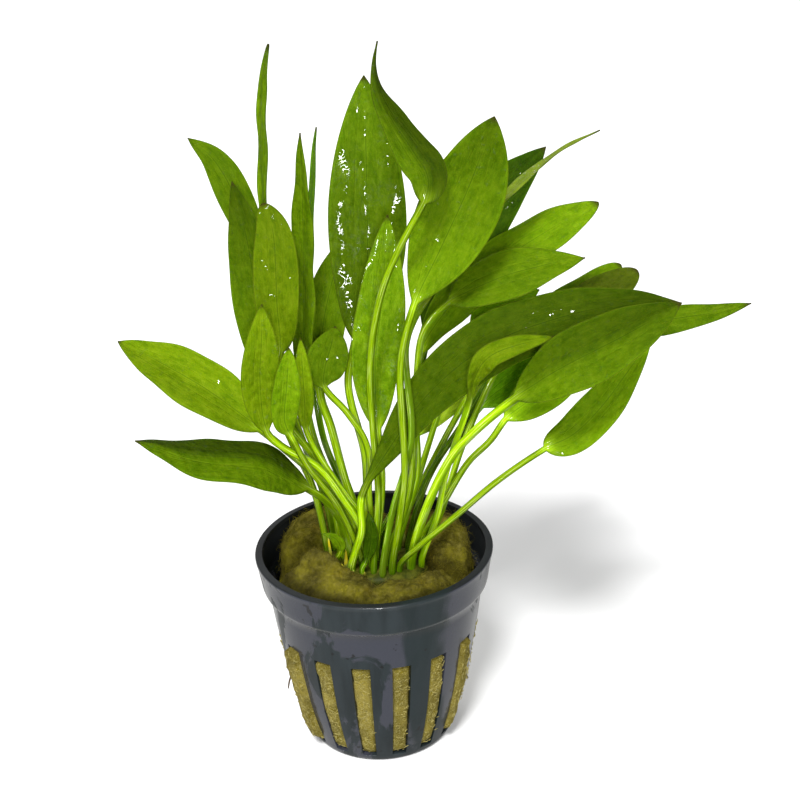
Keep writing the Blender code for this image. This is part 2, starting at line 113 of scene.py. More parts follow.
def spline(points, steps=CURVE_STEPS):
    """Read a smooth curve through the points, evenly in time between each pair."""
    ends = [2 * points[0] - points[1], *points, 2 * points[-1] - points[-2]]
    curve = [points[0]]
    for before, start, end, after in zip(ends, ends[1:], ends[2:], ends[3:]):
        reach = (end - start).length
        leave = (end - before).normalized() * reach
        arrive = (after - start).normalized() * reach
        for step in range(1, steps + 1):
            t = step / steps
            curve.append((2 * t**3 - 3 * t**2 + 1) * start + (t**3 - 2 * t**2 + t) * leave
                         + (3 * t**2 - 2 * t**3) * end + (t**3 - t**2) * arrive)
    return curve


def travel(curve):
    """How far along a curve each of its points is."""
    lengths = [0.0]
    for start, end in zip(curve, curve[1:]):
        lengths.append(lengths[-1] + (end - start).length)
    return lengths


def point_at(curve, lengths, length):
    """The point that lies a length along a curve."""
    for index in range(1, len(curve)):
        if length <= lengths[index] or index == len(curve) - 1:
            part = (length - lengths[index - 1]) / (lengths[index] - lengths[index - 1])
            return curve[index - 1].lerp(curve[index], min(part, 1.0))


def between(table, place):
    """Read a value from a table of (place, value) pairs, straight between them."""
    for (low, first), (high, second) in zip(table, table[1:]):
        if place <= high:
            return first + (second - first) * max(0.0, (place - low) / (high - low))
    return table[-1][1]


def ease(value):
    """Go smoothly from 0 to 1 as a value does."""
    value = min(max(value, 0.0), 1.0)
    return value * value * (3 - 2 * value)


def unevenness(point, grain_size, octaves):
    return noise.fractal(point / grain_size, 0.8, 2.2, octaves)


# -------- finishes: small node helpers


def fill(socket, value):
    """Link an output to a socket, or set a plain number, vector or colour on it."""
    if isinstance(value, bpy.types.NodeSocket):
        socket.id_data.links.new(value, socket)
    elif socket.type == "RGBA":
        socket.default_value = (*value, 1)
    else:
        socket.default_value = value


def feed(node, **inputs):
    for name, value in inputs.items():
        fill(node.inputs[name.replace("_", " ")], value)


def add_node(tree, kind, settings=None, **inputs):
    node = tree.nodes.new(kind)
    for name, value in (settings or {}).items():
        setattr(node, name, value)
    feed(node, **inputs)
    return node


# Every helper from here to grain adds its node to the tree that its values come from


def calculate(operation, *values):
    source = next(value for value in values if isinstance(value, bpy.types.NodeSocket))
    node = add_node(source.id_data, "ShaderNodeMath", {"operation": operation})
    for socket, value in zip(node.inputs, values):
        fill(socket, value)
    return node.outputs[0]


def times(first, *others):
    for other in others:
        first = calculate("MULTIPLY", first, other)
    return first


def plus(first, second):
    return calculate("ADD", first, second)


def minus(first, second):
    return calculate("SUBTRACT", first, second)


def most(first, second):
    return calculate("MAXIMUM", first, second)


def band(value, low, high, floor=0.0, ceiling=1.0):
    """Ease from floor to ceiling as a value goes from low to high."""
    return add_node(value.id_data, "ShaderNodeMapRange", {"interpolation_type": "SMOOTHSTEP"},
                    Value=value, From_Min=low, From_Max=high, To_Min=floor,
                    To_Max=ceiling).outputs["Result"]


def blend(factor, first, second, share=None):
    """Go from the first colour to the second by a factor, or by a share of it."""
    if share is not None:
        factor = times(factor, share)
    node = add_node(factor.id_data, "ShaderNodeMix", {"data_type": "RGBA"})
    colours = [socket for socket in node.inputs if socket.type == "RGBA"]
    for socket, value in zip([node.inputs[0], *colours], (factor, first, second)):
        fill(socket, value)
    return next(socket for socket in node.outputs if socket.type == "RGBA")


def one_axis(place, axis):
    return add_node(place.id_data, "ShaderNodeSeparateXYZ", Vector=place).outputs[axis]


def mapped(place, **settings):
    return add_node(place.id_data, "ShaderNodeMapping", Vector=place, **settings).outputs[0]


def scaled(vector, scale):
    return add_node(vector.id_data, "ShaderNodeVectorMath", {"operation": "SCALE"}, Vector=vector,
                    Scale=scale).outputs[0]


def distance_out(place):
    """How far each point stands from the pot's axis, in metres."""
    return add_node(place.id_data, "ShaderNodeVectorMath", {"operation": "LENGTH"},
                    Vector=mapped(place, Scale=(1, 1, 0))).outputs["Value"]


def grain(place, scale, detail=3.0, roughness=0.55, distortion=0.0):
    return add_node(place.id_data, "ShaderNodeTexNoise", Vector=place, Scale=scale, Detail=detail,
                    Roughness=roughness, Distortion=distortion).outputs["Fac"]


def mark(tree, name):
    return add_node(tree, "ShaderNodeAttribute", {"attribute_name": name}).outputs["Fac"]


def own_place(tree):
    """Where each point of a piece stands, in metres."""
    return add_node(tree, "ShaderNodeTexCoord").outputs["Object"]


def start_group(name, inputs, outputs):
    """A node group whose sockets are given as pairs of a label and a kind."""
    tree = bpy.data.node_groups.new(name, "ShaderNodeTree")
    for way, sockets in (("INPUT", inputs), ("OUTPUT", outputs)):
        for label, kind in sockets:
            tree.interface.new_socket(label, in_out=way, socket_type="NodeSocket" + kind)
    return tree, tree.nodes.new("NodeGroupInput").outputs, tree.nodes.new("NodeGroupOutput")


def start_finish(name, **constants):
    """A material with its Principled shader, whose constants sit on the shader's own sockets."""
    material = bpy.data.materials.new(name)
    material.use_nodes = True
    shader = material.node_tree.nodes["Principled BSDF"]
    feed(shader, **constants)
    return material, material.node_tree, shader


def relief(shader, height, distance, strength):
    bump = add_node(shader.id_data, "ShaderNodeBump", Strength=strength, Distance=distance,
                    Height=height)
    feed(shader, Normal=bump.outputs["Normal"])


# -------- finishes: the leaves

LEAF_MARKS = ("along", "across", "reach", "offset", "rim", "tone")
# How fine the patterns are, in waves a metre
BLOTCH_GRAIN = 170.0
GLINT_GRAIN = 420.0
GLINT_PATCH_GRAIN = 260.0
SPECK_GRAIN = 1100.0
# The same in waves a millimetre, for those that follow the blade
PUCKER_GRAIN = 0.62
FINE_GRAIN = 1.6
MOTTLE_GRAIN = 0.9
FLECK_GRAIN = 3.5
STREAKS_ALONG = 0.12
STREAKS_ACROSS = 4.0
# How far those patterns move on from one leaf to the next, by its place in the pot
BLADE_DRIFT = 60.0
# Side veins by their share of the half width, then cross veins in millimetres along the blade
VEIN_SHARE = 0.31
VEIN_WIDTH = 0.045
CROSS_VEIN_SLANT = -1.3
CROSS_VEIN_WOBBLE = 1.6
CROSS_VEIN_GAP = 0.9
CROSS_VEIN_WIDTH = 0.16
STALK_RIDGE_HIGHLIGHT = (0.55, 0.68, 0.15)


def leaf_surface_group():
    """Blade, ribs, veins, rim, tip and stalk, from the marks that every leaf carries."""
    tree, given, result = start_group(
        "leaf_surface",
        [(label, "Color") for label in ("Lit", "Deep", "Rib", "Stalk", "Dry")]
        + [("Blotch", "Float"), ("Wetness", "Float")],
        [("Colour", "Color"), ("Roughness", "Float"), ("Wet", "Float"), ("Height", "Float")])
    along, across, reach, offset, rim, tone = (mark(tree, name) for name in LEAF_MARKS)
    deep, pale, dry = given["Deep"], given["Rib"], given["Dry"]
    place = own_place(tree)
    share = calculate("ABSOLUTE", across)
    off = calculate("ABSOLUTE", offset)
    blade = band(along, -0.02, 0.1)
    flat = add_node(tree, "ShaderNodeCombineXYZ", X=reach, Y=offset).outputs[0]
    local = add_node(tree, "ShaderNodeVectorMath", {"operation": "ADD"}, Vector=flat)
    fill(local.inputs[1], scaled(place, BLADE_DRIFT))
    local = local.outputs[0]

    blotch = band(grain(place, BLOTCH_GRAIN, 4.0, 0.6), 0.3, 0.74)
    tissue = blend(blotch, given["Lit"], deep, given["Blotch"])
    pucker = add_node(tree, "ShaderNodeTexVoronoi", {"feature": "SMOOTH_F1"}, Vector=local,
                      Scale=PUCKER_GRAIN, Smoothness=0.7, Randomness=0.9).outputs["Distance"]
    puff = band(pucker, 0.1, 0.75, 1.0, 0.0)
    tissue = blend(band(pucker, 0.35, 0.8), tissue, pale, 0.22)
    mottle = grain(mapped(local, Scale=(0.35, 1.0, 1.0)), MOTTLE_GRAIN, 4.0, 0.7)
    tissue = blend(band(mottle, 0.5, 0.66, 0.0, 0.4), tissue, pale)
    flecks = grain(local, FLECK_GRAIN, 2.0)
    tissue = blend(band(flecks, 0.52, 0.68, 0.0, 0.35), tissue, pale)
    tissue = blend(band(mottle, 0.5, 0.32, 0.0, 0.55), tissue, deep)

    fold = calculate("PINGPONG", plus(share, VEIN_SHARE), VEIN_SHARE)
    vein = times(band(fold, 0.0, VEIN_WIDTH, 1.0, 0.0), blade)
    tissue = blend(vein, tissue, pale, 0.2)
    fine = grain(local, FINE_GRAIN, 3.0, 0.6)
    slant = plus(reach, times(off, CROSS_VEIN_SLANT))
    slant = plus(slant, times(fine, CROSS_VEIN_WOBBLE))
    slant = calculate("PINGPONG", slant, CROSS_VEIN_GAP)
    cross = band(slant, 0.0, CROSS_VEIN_WIDTH, 1.0, 0.0)
    tissue = blend(cross, tissue, pale, 0.1)
    rib = times(band(off, 0.12, 0.42, 1.0, 0.0), band(along, 0.8, 1.0, 1.0, 0.0))
    tissue = blend(rib, tissue, pale, 0.42)
    # Painted shade: a thin dark line along the midrib's groove
    groove_shade = times(band(off, 0.04, 0.2, 0.75, 0.0), band(along, 0.7, 0.95, 1.0, 0.0))
    tissue = blend(groove_shade, tissue, deep)

    stretched = add_node(tree, "ShaderNodeCombineXYZ", X=times(reach, STREAKS_ALONG),
                         Y=times(offset, STREAKS_ACROSS)).outputs[0]
    streak = grain(stretched, 1.0, 3.0)
    stalk = blend(band(streak, 0.5, 0.36, 0.0, 0.6), given["Stalk"], deep)
    # Pale ribs with painted highlights along the stalk's ridges
    stalk = blend(band(streak, 0.54, 0.62, 0.0, 0.6), stalk, STALK_RIDGE_HIGHLIGHT)
    # Painted shade on the stalk's round sides and at its foot
    stalk = blend(band(share, 0.35, 0.95, 0.0, 0.7), stalk, deep)
    stalk = blend(band(along, -1.0, -0.78, 0.85, 0.0), stalk, deep)
    # The tone mark scales each leaf's colour: its own tone together with painted light and shade,
    # leaf by leaf, from neck to tip and by side
    colour = scaled(blend(blade, stalk, tissue), tone)

    edge = times(band(rim, 0.05, 0.32, 1.0, 0.0), band(along, 0.0, 0.15))
    colour = blend(edge, colour, dry, 0.4)
    withered = plus(along, times(fine, 0.03))
    colour = blend(band(withered, 0.975, 1.01, 0.0, 0.9), colour, dry)

    curl = minus(grain(place, GLINT_GRAIN, 2.0, 0.5, 1.5), 0.5)
    curl = band(calculate("ABSOLUTE", curl), 0.02, 0.035, 1.0, 0.0)
    patches = band(grain(place, GLINT_PATCH_GRAIN), 0.47, 0.5)
    glints = times(curl, given["Wetness"], patches)
    specks = band(grain(place, SPECK_GRAIN, 2.0), 0.65, 0.69, 0.0, 0.6)
    gloss = times(band(streak, 0.48, 0.6), 0.7, minus(1.0, blade))

    height = plus(times(puff, 0.7), times(fine, 0.25))
    height = minus(height, times(vein, 0.3))
    height = minus(height, times(cross, 0.1))
    height = plus(height, times(specks, 0.6))
    height = plus(times(height, blade), times(streak, 0.7))
    feed(result, Colour=colour, Roughness=band(fine, 0.3, 0.7, 0.45, 0.6),
         Wet=most(most(glints, specks), gloss), Height=height)
    return tree


LEAF_SURFACE = leaf_surface_group()


def leaf_finish(name, lit, deep, rib, stalk, blotch=0.5, wetness=0.0):
    """Living leaf: translucent green tissue under a clear gloss."""
    material, tree, shader = start_finish(
        name, Subsurface_Weight=0.35, Subsurface_Radius=(0.6, 1.0, 0.08), Subsurface_Scale=0.0009,
        Specular_IOR_Level=0.02, Coat_Roughness=0.05, Coat_IOR=1.5)
    surface = add_node(tree, "ShaderNodeGroup", {"node_tree": LEAF_SURFACE}, Lit=lit, Deep=deep,
                       Rib=rib, Stalk=stalk, Dry=DRY_BROWN, Blotch=blotch, Wetness=wetness).outputs
    feed(shader, Base_Color=surface["Colour"], Roughness=surface["Roughness"],
         Coat_Weight=surface["Wet"])
    relief(shader, surface["Height"], 0.00035, 0.8)
    return material


STALK_LIME = (0.28, 0.45, 0.003)
STALK_GREEN = (0.13, 0.27, 0.002)
DRY_BROWN = (0.04, 0.036, 0.006)
LEAF_FINISHES = {
    "lime": leaf_finish("lime_leaf", (0.145, 0.24, 0.001), (0.075, 0.155, 0.0005),
                        (0.22, 0.32, 0.008), STALK_LIME),
    "fresh": leaf_finish("fresh_leaf", (0.105, 0.195, 0.001), (0.048, 0.115, 0.0005),
                         (0.165, 0.265, 0.006), STALK_LIME),
    "wet": leaf_finish("wet_leaf", (0.1, 0.185, 0.001), (0.045, 0.11, 0.0005),
                       (0.16, 0.26, 0.008), STALK_LIME, 0.6, 1.0),
    "deep": leaf_finish("deep_leaf", (0.05, 0.12, 0.001), (0.022, 0.068, 0.0005),
                        (0.085, 0.17, 0.004), STALK_GREEN),
    "olive": leaf_finish("olive_leaf", (0.115, 0.165, 0.005), (0.06, 0.1, 0.003),
                         (0.17, 0.23, 0.015), STALK_GREEN),
}

# -------- the leaves

FOOT_HEIGHT = 45.35
FOOT_SINK = 1.0
UPRIGHT_FOOT = 1.6
STALK_RINGS = 22
BLADE_RINGS = 40
SECTION_SHARES = (1.0, 0.975, 0.9, 0.76, 0.6, 0.44, 0.28, 0.15, 0.06)
BASE_ROUNDNESS = 0.7
TIP_TAPER = 0.85
TIP_WIDTH = 0.35
BLADE_THICKNESS = 0.34
TIP_THICKNESS = 0.16
SHEATH_HEIGHT = 5.0
SHEATH_SWELL = 0.12
STALK_FLUTE = 0.09
WAVE_LENGTH = 15.0
WAVE_HEIGHT = 0.4
MIDRIB_WIDTH = 0.42
MIDRIB_DEPTH = 0.16
MIDRIB_BACK = 2.0
# How far along the blade the stalk's round section takes to flatten out
FLATTEN_BY = 0.16
WAVE_BUILD = 2.2
RIPPLE_HEIGHT = 0.22
RIPPLE_ALONG = 6.0
RIPPLE_ACROSS = 3.5
SIDE_SHADE_STEEPNESS = 4

# A leaf: its foot on the crown, the points of its stalk and blade, its blade's width, its stalk's
# girth, how far the edges fold up, which way it faces at the neck and at the tip, its tone at the
# neck and at the tip (its own tone together with painted light and shade), its finish, how full and
# tapered it is, and the painted shade from one side of its midrib to the other
Leaf = namedtuple("Leaf", "name foot stalk blade width girth fold face tip_face tone finish"
                          " roundness taper skew", defaults=["fresh", BASE_ROUNDNESS, TIP_TAPER, 0])

LEAVES = [
    Leaf("left_low", (-5.2, -5.4), [(-7, -8, 58), (-10, -11, 65), (-13.5, -13, 69)],
         [(-22, -18, 78.3), (-34, -24, 83.3), (-46, -28, 89)],
         14, 1.7, -0.15, (-0.2, -0.6, 0.9), (0.1, -0.2, 1), (0.57, 0.53), skew=-0.45),
    Leaf("left_mid", (-4.6, -2.4), [(-4.8, -6.6, 57.5), (-11, -7, 68), (-17, -6, 74),
         (-23, -4, 79)],
         [(-34, 0, 87), (-45, 6, 92), (-54, 10, 95.7)],
         13, 1.7, 0.12, (0.3, -1, 0.9), (0.3, -0.8, 1), (0.9, 0.9), "lime", skew=0.1),
    Leaf("left_inner", (-0.6, -6.8), [(-3.2, -9.6, 58.5), (-6, -11.5, 65), (-11, -13, 74),
         (-18, -15, 80), (-21, -16, 84)],
         [(-21.5, -17, 96), (-20.5, -17, 105), (-20, -16, 112)],
         8, 1.6, 0.2, (0.3, -1, 0), (0, -1, 0), (0.93, 0.89), "lime"),
    Leaf("left_upper", (-9, 2.2), [(-10.5, 3.5, 58), (-15, 4.5, 73), (-19.6, 7, 91),
         (-22.4, 12, 113)],
         [(-26, 15.5, 124.4), (-30.6, 19.5, 132.8), (-36, 22, 137.2)],
         7.8, 1.55, 0.15, (0.2, -1, 0.3), (0.4, -1, 0.5), (0.74, 0.79)),
    Leaf("left_dark", (-10.6, 0.2), [(-13, 1, 62), (-17.5, 2.5, 74), (-21.5, 4.5, 87)],
         [(-22.8, 7, 107), (-24, 9, 119), (-26.6, 14, 129.3)],
         10.6, 1.55, 0.2, (0, -1, 0), (-0.4, -1, 0), (1.06, 0.37)),
    Leaf("ribbon_left", (-7.8, 0.2), [(-10.6, 0.2, 62), (-14.5, 0, 74), (-18, 0, 87.6),
         (-20.8, 2.5, 106)],
         [(-19.8, 5.3, 125.7), (-18.7, 7, 145.5), (-18, 8, 152.5), (-16.5, 9, 158.6)],
         5.2, 1.45, 0.1, (1, -0.36, 0), (1, -0.36, 0), (1.54, 1.54), "fresh", 0.4, 0.35),
    Leaf("left_arch", (-7.4, -2), [(-9, -3.2, 64), (-12.5, -4.5, 73), (-18, -9, 84), (-20, -10, 91),
         (-17.6, -7, 98)],
         [(-17.6, -6.5, 108), (-17.4, -4, 118.3), (-17.8, -1, 123.1), (-19.6, 2, 127.6)],
         9.5, 1.7, 0.1, (0, -1, 0.2), (0, -0.7, 0.7), (0.79, 0.62), "lime", 0.5, 0.55),
    Leaf("narrow_near", (-5.4, 1.2), [(-7, 1, 59), (-11.5, 1, 72), (-13.3, 1, 84)],
         [(-12.6, 2.5, 101), (-11.6, 5.5, 120), (-11.3, 9, 140.3)],
         8, 1.45, 0.15, (-0.6, -0.6, 0), (-0.6, -0.5, 0), (0.9, 0.9)),
    Leaf("narrow_far", (-5.6, 3.6), [(-6, 4.5, 58), (-10.4, 7.5, 72), (-11.8, 11.5, 90)],
         [(-11.2, 15, 111.3), (-10, 17.5, 125.6), (-8.2, 19.5, 139)],
         5.8, 1.45, 0.1, (1, -0.3, 0), (1, -0.3, 0), (3, 3), "deep", 0.5, 0.6),
    Leaf("behind_left", (-2.8, 3.6), [(-4, 3, 56), (-5.8, 3, 62.6), (-8.4, 3, 76.5),
         (-10.2, 3.3, 83.7)],
         [(-9, 6, 97), (-6.8, 9, 106), (-2.9, 14, 116.5)],
         10, 1.9, 0.15, (-0.2, -1, 0.4), (-0.2, -1, 0.6), (0.87, 0.78)),
    Leaf("centre_big", (-2.2, 0.8), [(-1, -2, 70), (-4, 0, 87), (-2, 3, 96)],
         [(1, 7, 108), (2, 12, 126), (2.5, 18, 149.8)],
         17, 1.7, 0.12, (0, -1, 0.2), (0, -1, 0.4), (0.46, 1.06), "wet"),
    Leaf("centre_lower", (0.4, -1.8), [(2.4, -5.4, 66), (2, -5, 78)],
         [(2, -3, 92), (4, -1, 106), (6, 2, 124)],
         11, 1.6, 0.12, (0, -1, 0.1), (0, -1, 0.2), (1.3, 1.4), "wet"),
    Leaf("top_curl", (-0.4, -9.2), [(1.5, -7.8, 64), (1, -7.4, 77), (1, -8.5, 95), (4, -11, 112),
         (9.6, -13.5, 125), (12.8, -13.5, 130.4)],
         [(13.9, -10.5, 134.7), (11, -7, 139.5), (7.7, -4, 144.2), (4.9, -1, 150), (4.4, 2, 154.8),
          (5.4, 5, 158.9)],
         8.8, 1.5, 0.15, (0, -0.8, 0.5), (1, -0.35, 0.2), (0.6, 0.42), "fresh", 0.5, 1.25,
         skew=-0.4),
    Leaf("centre_right", (3.7, -9.6), [(5.6, -13.6, 60), (7.2, -15.2, 73), (7, -14.5, 87),
         (7.2, -12.5, 97), (10.4, -10, 108)],
         [(16.2, -7.5, 119), (22.4, -7, 132), (27.3, -9, 145.9)],
         16.5, 1.6, 0.1, (-0.1, -1, 0.3), (0, -1, 0), (1.28, 0.62), "fresh", 0.9, 0.85),
    Leaf("right_back", (2.2, 1.2), [(8, 1.4, 65), (11, 5, 80.6), (14, 9, 93.6)],
         [(20, 13.4, 106), (29, 19.6, 119.6), (42, 25, 131.2)],
         14, 1.45, 0.15, (-0.3, -1, 0.5), (-0.3, -1, 0.5), (0.6, 0.5), "deep"),
    Leaf("right_ribbon", (1.6, -10.4), [(4.6, -11.6, 63), (7, -12.6, 71), (9, -13, 80),
         (8.6, -9.5, 91), (8.6, -5, 97.5), (11, -0.5, 102)],
         [(17, 3, 109.6), (25, 4.8, 119.3), (34.2, 6.5, 128), (42.3, 10, 133.3), (52.3, 16, 136.5)],
         7, 1.45, 0.2, (-0.6, 0, 0.75), (-0.5, 0.1, 0.85), (1.38, 1.38), "olive", 0.5, 0.6),
    Leaf("right_upper", (3.4, -2.2), [(10, -2, 64), (10.5, 0, 78), (12, 2.5, 92)],
         [(18, 5, 101), (30, 9, 110), (41, 12, 116), (52.4, 16, 120.6)],
         12, 1.55, 0.12, (-0.3, -0.8, 0.9), (-0.2, -0.7, 1), (1.25, 1.3), "fresh", 0.7, 0.6),
    Leaf("right_mid", (2.8, -6.6), [(8.5, -6, 64), (10, -5.5, 80), (11, -4.5, 92),
         (12.5, -3.5, 100), (18, -2.5, 105.5)],
         [(29, -1, 110), (38, 0, 112), (47.2, 1, 113)],
         12, 1.55, 0.1, (-0.3, -0.8, 0.9), (0, -0.8, 1), (0.72, 1), "fresh", 0.7, 1),
    Leaf("right_lower", (5.4, 0.2), [(10.5, 2.5, 62), (15, 5, 75), (20, 6, 90), (23.5, 7, 96.5)],
         [(27, 8, 99), (32, 9.5, 101), (39, 12, 102.5)],
         8, 1.4, 0.15, (-0.4, -0.7, 0.9), (-0.2, -0.6, 1), (2.8, 2.8)),
    Leaf("far_back_left", (4.6, 2.6), [(12, 6.5, 60), (20, 11, 73), (28.6, 16, 84.4)],
         [(39, 22, 90.6), (50, 28, 95), (61.5, 36, 99.4)],
         8, 1.45, 0.15, (-0.3, -0.8, 0.9), (0, -0.7, 1), (1.15, 1.15), "fresh", 0.7, 0.5),
    Leaf("far_back_right", (7.8, 0.8), [(13, 3.5, 62), (22, 8, 74), (32, 12, 88)],
         [(45, 17, 94), (55, 23, 97), (64, 29, 100.3)],
         10, 1.45, 0.15, (-0.3, -0.8, 0.9), (0, -0.7, 1), (0.6, 0.6), "olive", 0.7, 0.5),
    Leaf("long_right", (-5.2, -8.2), [(-4, -10.2, 52), (-2.5, -12.3, 58), (-2, -12, 66.5)],
         [(4, -10.5, 76), (13, -9, 88), (26, -8.5, 98.2), (40, -8, 103), (53, -8, 105.4),
          (66, -8, 105.2)],
         13, 1.7, 0.08, (-0.2, -1, 0.2), (0, -0.6, 1), (0.55, 0.36), "fresh", 1.1),
    Leaf("right_front", (8, -7.6), [(11, -12.5, 61), (17, -15.5, 76), (23, -17, 83.5),
         (30, -18.5, 90)],
         [(39, -20, 96.7), (51, -22, 103.8), (62, -24, 111)],
         13.5, 1.9, 0.1, (-0.3, -0.9, 0.8), (0, -0.9, 0.8), (0.81, 0.45), skew=0.25),
    Leaf("far_right", (10.6, -4), [(15, -5, 57), (20, -5, 73), (26, -3, 86), (31, -1, 93)],
         [(44, 0, 96), (59, 2, 97.2), (73, 3, 98.2), (84, 4, 100)],
         8, 1.4, 0.15, (-0.2, -0.7, 1), (0, -0.8, 0.8), (0.74, 0.79)),
    Leaf("right_droop", (5.4, -9), [(11, -15, 56), (19, -15.5, 63.2), (27, -15, 69.9),
         (37, -13, 75.7)],
         [(43, -12.5, 78.4), (48.8, -12, 84), (54.4, -11, 91.4), (59.8, -9, 98.5)],
         9, 1.35, 0.1, (-0.4, -0.9, 0.5), (-0.4, -0.9, 0.3), (1.25, 1.45), "fresh", 0.45),
    Leaf("under_front", (8.4, -5), [(15, -9, 61), (21, -10, 72), (26, -10, 77), (29, -9, 81)],
         [(36, -6.5, 85.2), (43, -5, 90.5), (49, -4, 94.8)],
         10, 1.45, 0.12, (-0.2, -0.8, 0.8), (0, -0.8, 0.8), (1.8, 2.2)),
    Leaf("shaded_right", (7.8, -2), [(13, -2, 59), (20, 1.5, 72), (25, 3, 79)],
         [(34, 5, 85), (44, 8, 89), (53, 10.5, 93)],
         12, 1.4, 0.1, (-0.3, -0.8, 0.8), (0, -0.8, 0.8), (2.86, 2.6), "deep"),
    Leaf("olive_back", (1.2, 4), [(9, 8.5, 60), (11, 13, 68)],
         [(17, 17, 75), (25, 21, 76), (34, 25, 75)],
         11, 1.3, 0.1, (-0.2, -0.7, 0.8), (0, -0.7, 0.8), (3, 3), "olive"),
    Leaf("bent_narrow", (10.4, -6.8), [(14, -11, 60), (16, -12.5, 71), (19, -13.5, 81),
         (21, -14, 87.6)],
         [(22, -15, 93.4), (24.8, -16, 98.2), (30.6, -15.5, 100.4), (38.6, -14, 101.4)],
         5, 1.4, 0.3, (0.5, -0.5, 0.6), (0.2, -0.7, 0.7), (0.77, 0.77), "lime"),
    Leaf("folded_left", (-2.8, -6.6), [(-5.6, -10, 58.5), (-8.5, -13.5, 67), (-13, -16.5, 76),
         (-16, -18, 84)],
         [(-17, -19, 88), (-16, -20, 96), (-15, -20, 104)],
         6, 1.4, 0.4, (0.2, -1, 0), (0.1, -1, 0), (1.3, 1.3), "fresh", 0.6, 0.72),
    Leaf("narrow_low", (-2.2, -3.8), [(-2.6, -7, 59), (-4.5, -8.5, 63), (-9.5, -10.5, 73),
         (-13, -12, 82)],
         [(-13, -12.5, 89), (-13, -12.5, 97), (-13, -12, 103)],
         4, 1.3, 0.3, (0.2, -1, 0), (0.1, -1, 0), (1.1, 1.1), "lime"),
    Leaf("centre_left_low", (0.4, -4.2), [(-0.6, -4.2, 62), (-0.4, -4.3, 74), (-4.8, -4.3, 83),
         (-8.9, -3.5, 88)],
         [(-8.6, -2.5, 92.6), (-7.2, -1.6, 96.6), (-6, -1, 101)],
         9, 1.45, 0.12, (0.1, -1, 0.2), (0, -1, 0.2), (0.77, 0.77)),
    Leaf("short_dark", (-2.8, -9.4), [(-2, -9.9, 48.8)],
         [(-1, -10.4, 52.4), (-0.5, -10.8, 57), (-0.9, -10.8, 61.6)],
         3.4, 1.2, 0.15, (0, -1, 0.2), (0, -1, 0.1), (0.65, 0.65), "deep"),
    Leaf("small_shoot", (-7.8, -6), [(-8.1, -8.6, 49.6), (-7.2, -10.6, 52.4)],
         [(-7.6, -12, 55), (-9, -13, 57.2), (-11.4, -13.6, 58.4)],
         2.8, 1.2, 0.15, (-0.2, -1, 0.3), (0, -0.9, 0.5), (1.1, 1.1), "fresh", 0.6, 1.2),
]


def section_shares():
    """Across-positions of a leaf's section: over the top from edge to edge, and back below."""
    top = [*SECTION_SHARES, *(-share for share in reversed(SECTION_SHARES))]
    return [(share, 1) for share in top] + [(share, -1) for share in top[-2:0:-1]]


def blade_half_width(leaf, along):
    """Half the blade's width at a share of its length, never less than its stalk or its tip."""
    widest = leaf.roundness / (leaf.roundness + leaf.taper)
    rise = (along / widest) ** leaf.roundness
    fall = ((1 - along) / (1 - widest)) ** leaf.taper
    return max(leaf.width / 2 * rise * fall, leaf.girth / 2 * (1 - along), TIP_WIDTH / 2)


